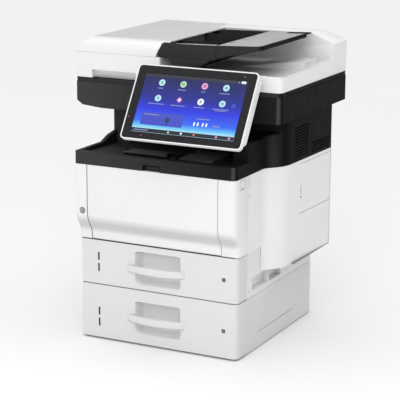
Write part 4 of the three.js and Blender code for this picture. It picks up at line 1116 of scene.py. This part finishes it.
rear_pad("rating_label", (-30, 28, 182, 204, 1.6), -0.3, 0.12, "tray_grey", 0.03)
rear_rim("inlet_collar", (113, 167, 171.5, 204.5, 3), (2.6, 2.1, 1.6), -0.4, 0.9, "shell_white", 0.3)
clip = [(3.6, -0.6), (3.6, -0.1), (3.0, -0.12), (2.4, -0.5)]
for i, (y, z) in enumerate(((-126, 232), (190, 232), (190, 372)), 1):
    turned(f"left_clip_{i}", left_face(-185), (-y, z), clip, "seam_grey", "left_cover", 20)
for side, x in (("left", -183.5), ("right", 183.5)):
    for i, (y0, y1) in enumerate(((-113, -33), (-29, 31)), 1):
        face, box = side_box(x, y0 - 0.9, y1 + 0.9, 132.1, 162.9, 3.4)
        rim(f"grip_edge_{side}_{i}", face, box, (1.3, 1.3, 2.4), -1.6, 0.3, "base_white", "engine_base", 0.35)


# ---- paper path: drawers ---------------------------------
STOP_Y = 165.5         # front of the length stops


def tray_details(name, d):
    """Length stop, floor ribs, size ticks and the rails outside."""
    tray = f"{name}_drawer_tray"
    floor = top_face(d["floor"] - 0.5)
    layers = [(n, (-half, half, STOP_Y, STOP_Y + deep, 1.5))
              for n, half, deep in ((-0.3, 34, 8), (3, 34, 8), (5.5, 30, 5.5), (52, 26, 4))]
    stack(f"{name}_length_stop", floor, layers, "button_grey", tray, 0.8)
    z = d["floor"] + 34
    pad(f"{name}_length_stop_grip", front_face(STOP_Y), (-12, 12, z, z + 12, 3), -0.3, 2.2, "release_green",
        tray, 0.6)
    ribs = [(x - 1.2, x + 1.2, -126, 160, 1.1) for x in (-156, 156)]
    pads(f"{name}_floor_rib", floor, ribs, -0.3, 1.0, "tray_grey", tray)
    ticks = [(116 + i * 6, 117.2 + i * 6, -58, -50 if i % 2 else -46, 0.5) for i in range(6)]
    pads(f"{name}_size_tick", floor, ticks, -0.3, 0.15, "mark_grey", tray, 0.03)
    z = d["foot"] + 30
    for i, x in enumerate((-166.5, 166.5), 1):
        face, box = side_box(x, -128, 170, z, z + 12, 2)
        pad(f"{name}_slide_rail_{i}", face, box, -0.3, 3.2, "plated_steel", tray, 0.8)
        face, box = side_box(x, -122, 164, z + 4, z + 8, 1.6)
        pad(f"{name}_slide_groove_{i}", face, box, 2.6, 3.5, "polished_steel", tray)


def lift_details(name, d):
    """Friction pad and slots of the lift plate."""
    lift = f"{name}_lift_plate"
    face = top_face(d["floor"] + 1.6)
    pad(f"{name}_friction_pad", face, (-26, 26, -122, -100, 2), -0.3, 0.9, "cork", lift)
    slots = [(x - 8, x + 8, -40, 60, 6) for x in (-50, 50)]
    pads(f"{name}_lift_slot", face, slots, -0.3, 0.25, "polished_steel", lift, 0.1)


def fence_details(name, d, end, way):
    """Finger grip and ribs of a paper fence; way is -1 on the left and 1 on the right."""
    fence = f"{name}_fence_{end}"
    top = d["top"] - 8
    x = way * 105.5
    layers = [(z, (x - 2.6, x + 2.6, y0, y1, 1.6))
              for z, y0, y1 in ((top - 14, -24, -4), (top - 4, -24, -4), (top, -22, -6))]
    stack(f"{name}_fence_grip_{end}", FLOOR, layers, "release_green", fence, 0.5)
    for i in range(3):
        y = -78 + i * 52
        face, box = side_box(way * 103.9, y, y + 3, d["floor"] + 6, top - 6, 1.2)
        pad(f"{name}_fence_rib_{end}_{i + 1}", face, box, -0.6, 0.3, "trim_charcoal", fence, 0.2)


for side, sizes in DRAWERS.items():
    tray_details(side, sizes)
    lift_details(side, sizes)
    fence_details(side, sizes, "left", -1)
    fence_details(side, sizes, "right", 1)

# ---- behind the front door -------------------------------
for i, x in enumerate((-118, 118), 1):
    foot, top = (x - 9, x + 9, 284, 308, 3), (x - 9, x + 9, 286, 306, 3)
    stack(f"cartridge_lever_{i}", front_face(-133), [(-3.0, foot), (3.5, foot), (7.5, top)], "release_green",
          "print_cartridge", 0.8)
pad("cartridge_blank_label", front_face(-137.6), (54, 100, 287, 305, 1.6), -1.0, 0.9, "tray_grey",
    "print_cartridge", 0.1)
grip_ribs = [(x, x + 3, 295, 305, 1.2) for x in range(-30, 26, 11)]
pads("cartridge_grip_rib", front_face(-156), grip_ribs, -0.6, 0.7, "cartridge_black", "print_cartridge")
for i, (x, screw_x) in enumerate(((-158, -173.3), (154, 170.9)), 1):
    pad(f"cartridge_rail_{i}", front_face(0), (x - 5, x + 5, 258, 262.5, 1.4), 20, 128, "trim_charcoal",
        "chassis", 0.5)
    screw(f"chassis_screw_{i}", front_face(-132), (screw_x, 300), "chassis", radius=2.2)
bar = (120, 142, 328, 334, 2)
release = [(0, bar), (10, bar), (14, (117, 139, 328, 332.5, 2))]
stack("fuser_release", front_face(104), release, "release_green", "fuser_frame", 0.6)
guide_ribs = [(-x - 1, -x + 1, 300, 366, 0.9) for x in (-100, -40, 20, 80)]
pads("door_guide_rib", rear_face(-181.5), guide_ribs, -14.6, -11.0, "shell_white", "front_door", 0.4)

# ---- scanner ---------------------------------------------
BEZEL_TOP = top_face(549.7)
pad("scan_lamp", top_face(533), (-160, -150, -70, 150, 2), -3.4, -0.6, "lit_white_soft", "scan_carriage", 0.4)
side_ticks = [(-119 if i % 2 else -122, -115, i * 15 - 66, i * 15 - 65, 0.4) for i in range(15)]
front_ticks = [(i * 15 - 106, i * 15 - 105, -82 if i % 2 else -85, -78, 0.4) for i in range(22)]
pads("bezel_tick", BEZEL_TOP, side_ticks, -0.3, 0.12, "mark_grey", "scanner_bezel", 0.03)
pads("bezel_front_tick", BEZEL_TOP, front_ticks, -0.3, 0.12, "mark_grey", "scanner_bezel", 0.03)
plate("bezel_corner_mark", BEZEL_TOP, [(-121, 154.5), (-115, 154.5), (-115, 160.5)], -0.3, 0.12, "mark_grey",
      "scanner_bezel", 0.03)
rim("glass_gasket", top_face(549.4), (-112.2, 220.2, -72.2, 152.2, 1), (2.8, 2.8, 1), -0.3, 0.12,
    "gauge_black", "platen_glass", 0.05)


# ---- floor and light -------------------------------------
FLOOR_GLOW = 0.06      # the floor is a pale sheet lit from below


def make_floor():
    mesh = bpy.data.meshes.new("floor")
    shape = bmesh.new()
    bmesh.ops.create_grid(shape, x_segments=1, y_segments=1, size=70)
    shape.to_mesh(mesh)
    shape.free()
    floor = bpy.data.objects.new("floor", mesh)
    bpy.context.scene.collection.objects.link(floor)
    tree, shader = new_material("floor")
    clouds = noise(tree, place_of(tree), 0.8, 2)
    base = blend_color(tree, clouds, (0.85, 0.85, 0.85, 1), (0.87, 0.87, 0.87, 1))
    feed(tree, shader, {"Base Color": base, "Roughness": 0.9, "Specular IOR Level": 0.1,
                        "Emission Color": (1, 1, 1, 1), "Emission Strength": FLOOR_GLOW})
    mesh.materials.append(LOOKS["floor"])


LIGHT_AIM = Vector((0, 0, 0.4))      # the middle of the body


def make_light(name, place, size, power):
    data = bpy.data.lights.new(name, "AREA")
    data.shape = "RECTANGLE"
    data.size = size[0]
    data.size_y = size[1]
    data.energy = power
    lamp = bpy.data.objects.new(name, data)
    bpy.context.scene.collection.objects.link(lamp)
    lamp.location = place
    lamp.rotation_mode = "QUATERNION"
    lamp.rotation_quaternion = (LIGHT_AIM - Vector(place)).to_track_quat("-Z", "Y")


HAZE = 0.75            # pale line of the far studio wall


def make_world(low, high):
    """Studio ceiling: low light near the horizon, rising to high overhead."""
    world = bpy.data.worlds.new("studio")
    world.use_nodes = True
    tree = world.node_tree
    where = add(tree, "ShaderNodeTexCoord").outputs["Generated"]
    up = add(tree, "ShaderNodeSeparateXYZ", {0: where}).outputs["Z"]
    haze = remap(tree, up, 0.04, 0.10, HAZE, 0)
    strength = plus(tree, haze, remap(tree, up, 0.25, 1.0, low, high))
    feed(tree, tree.nodes["Background"], {"Color": (1, 1, 1, 1), "Strength": strength})
    bpy.context.scene.world = world


make_floor()
make_world(0.12, 1.62)
make_light("key", (0.711, -1.953, 1.55), (1.2, 1.2), 13)
make_light("low", (0.41, -2.31, 0.62), (1.2, 0.9), 3.5)
bpy.context.scene.view_settings.view_transform = "Standard"
bpy.context.scene.view_settings.look = "None"
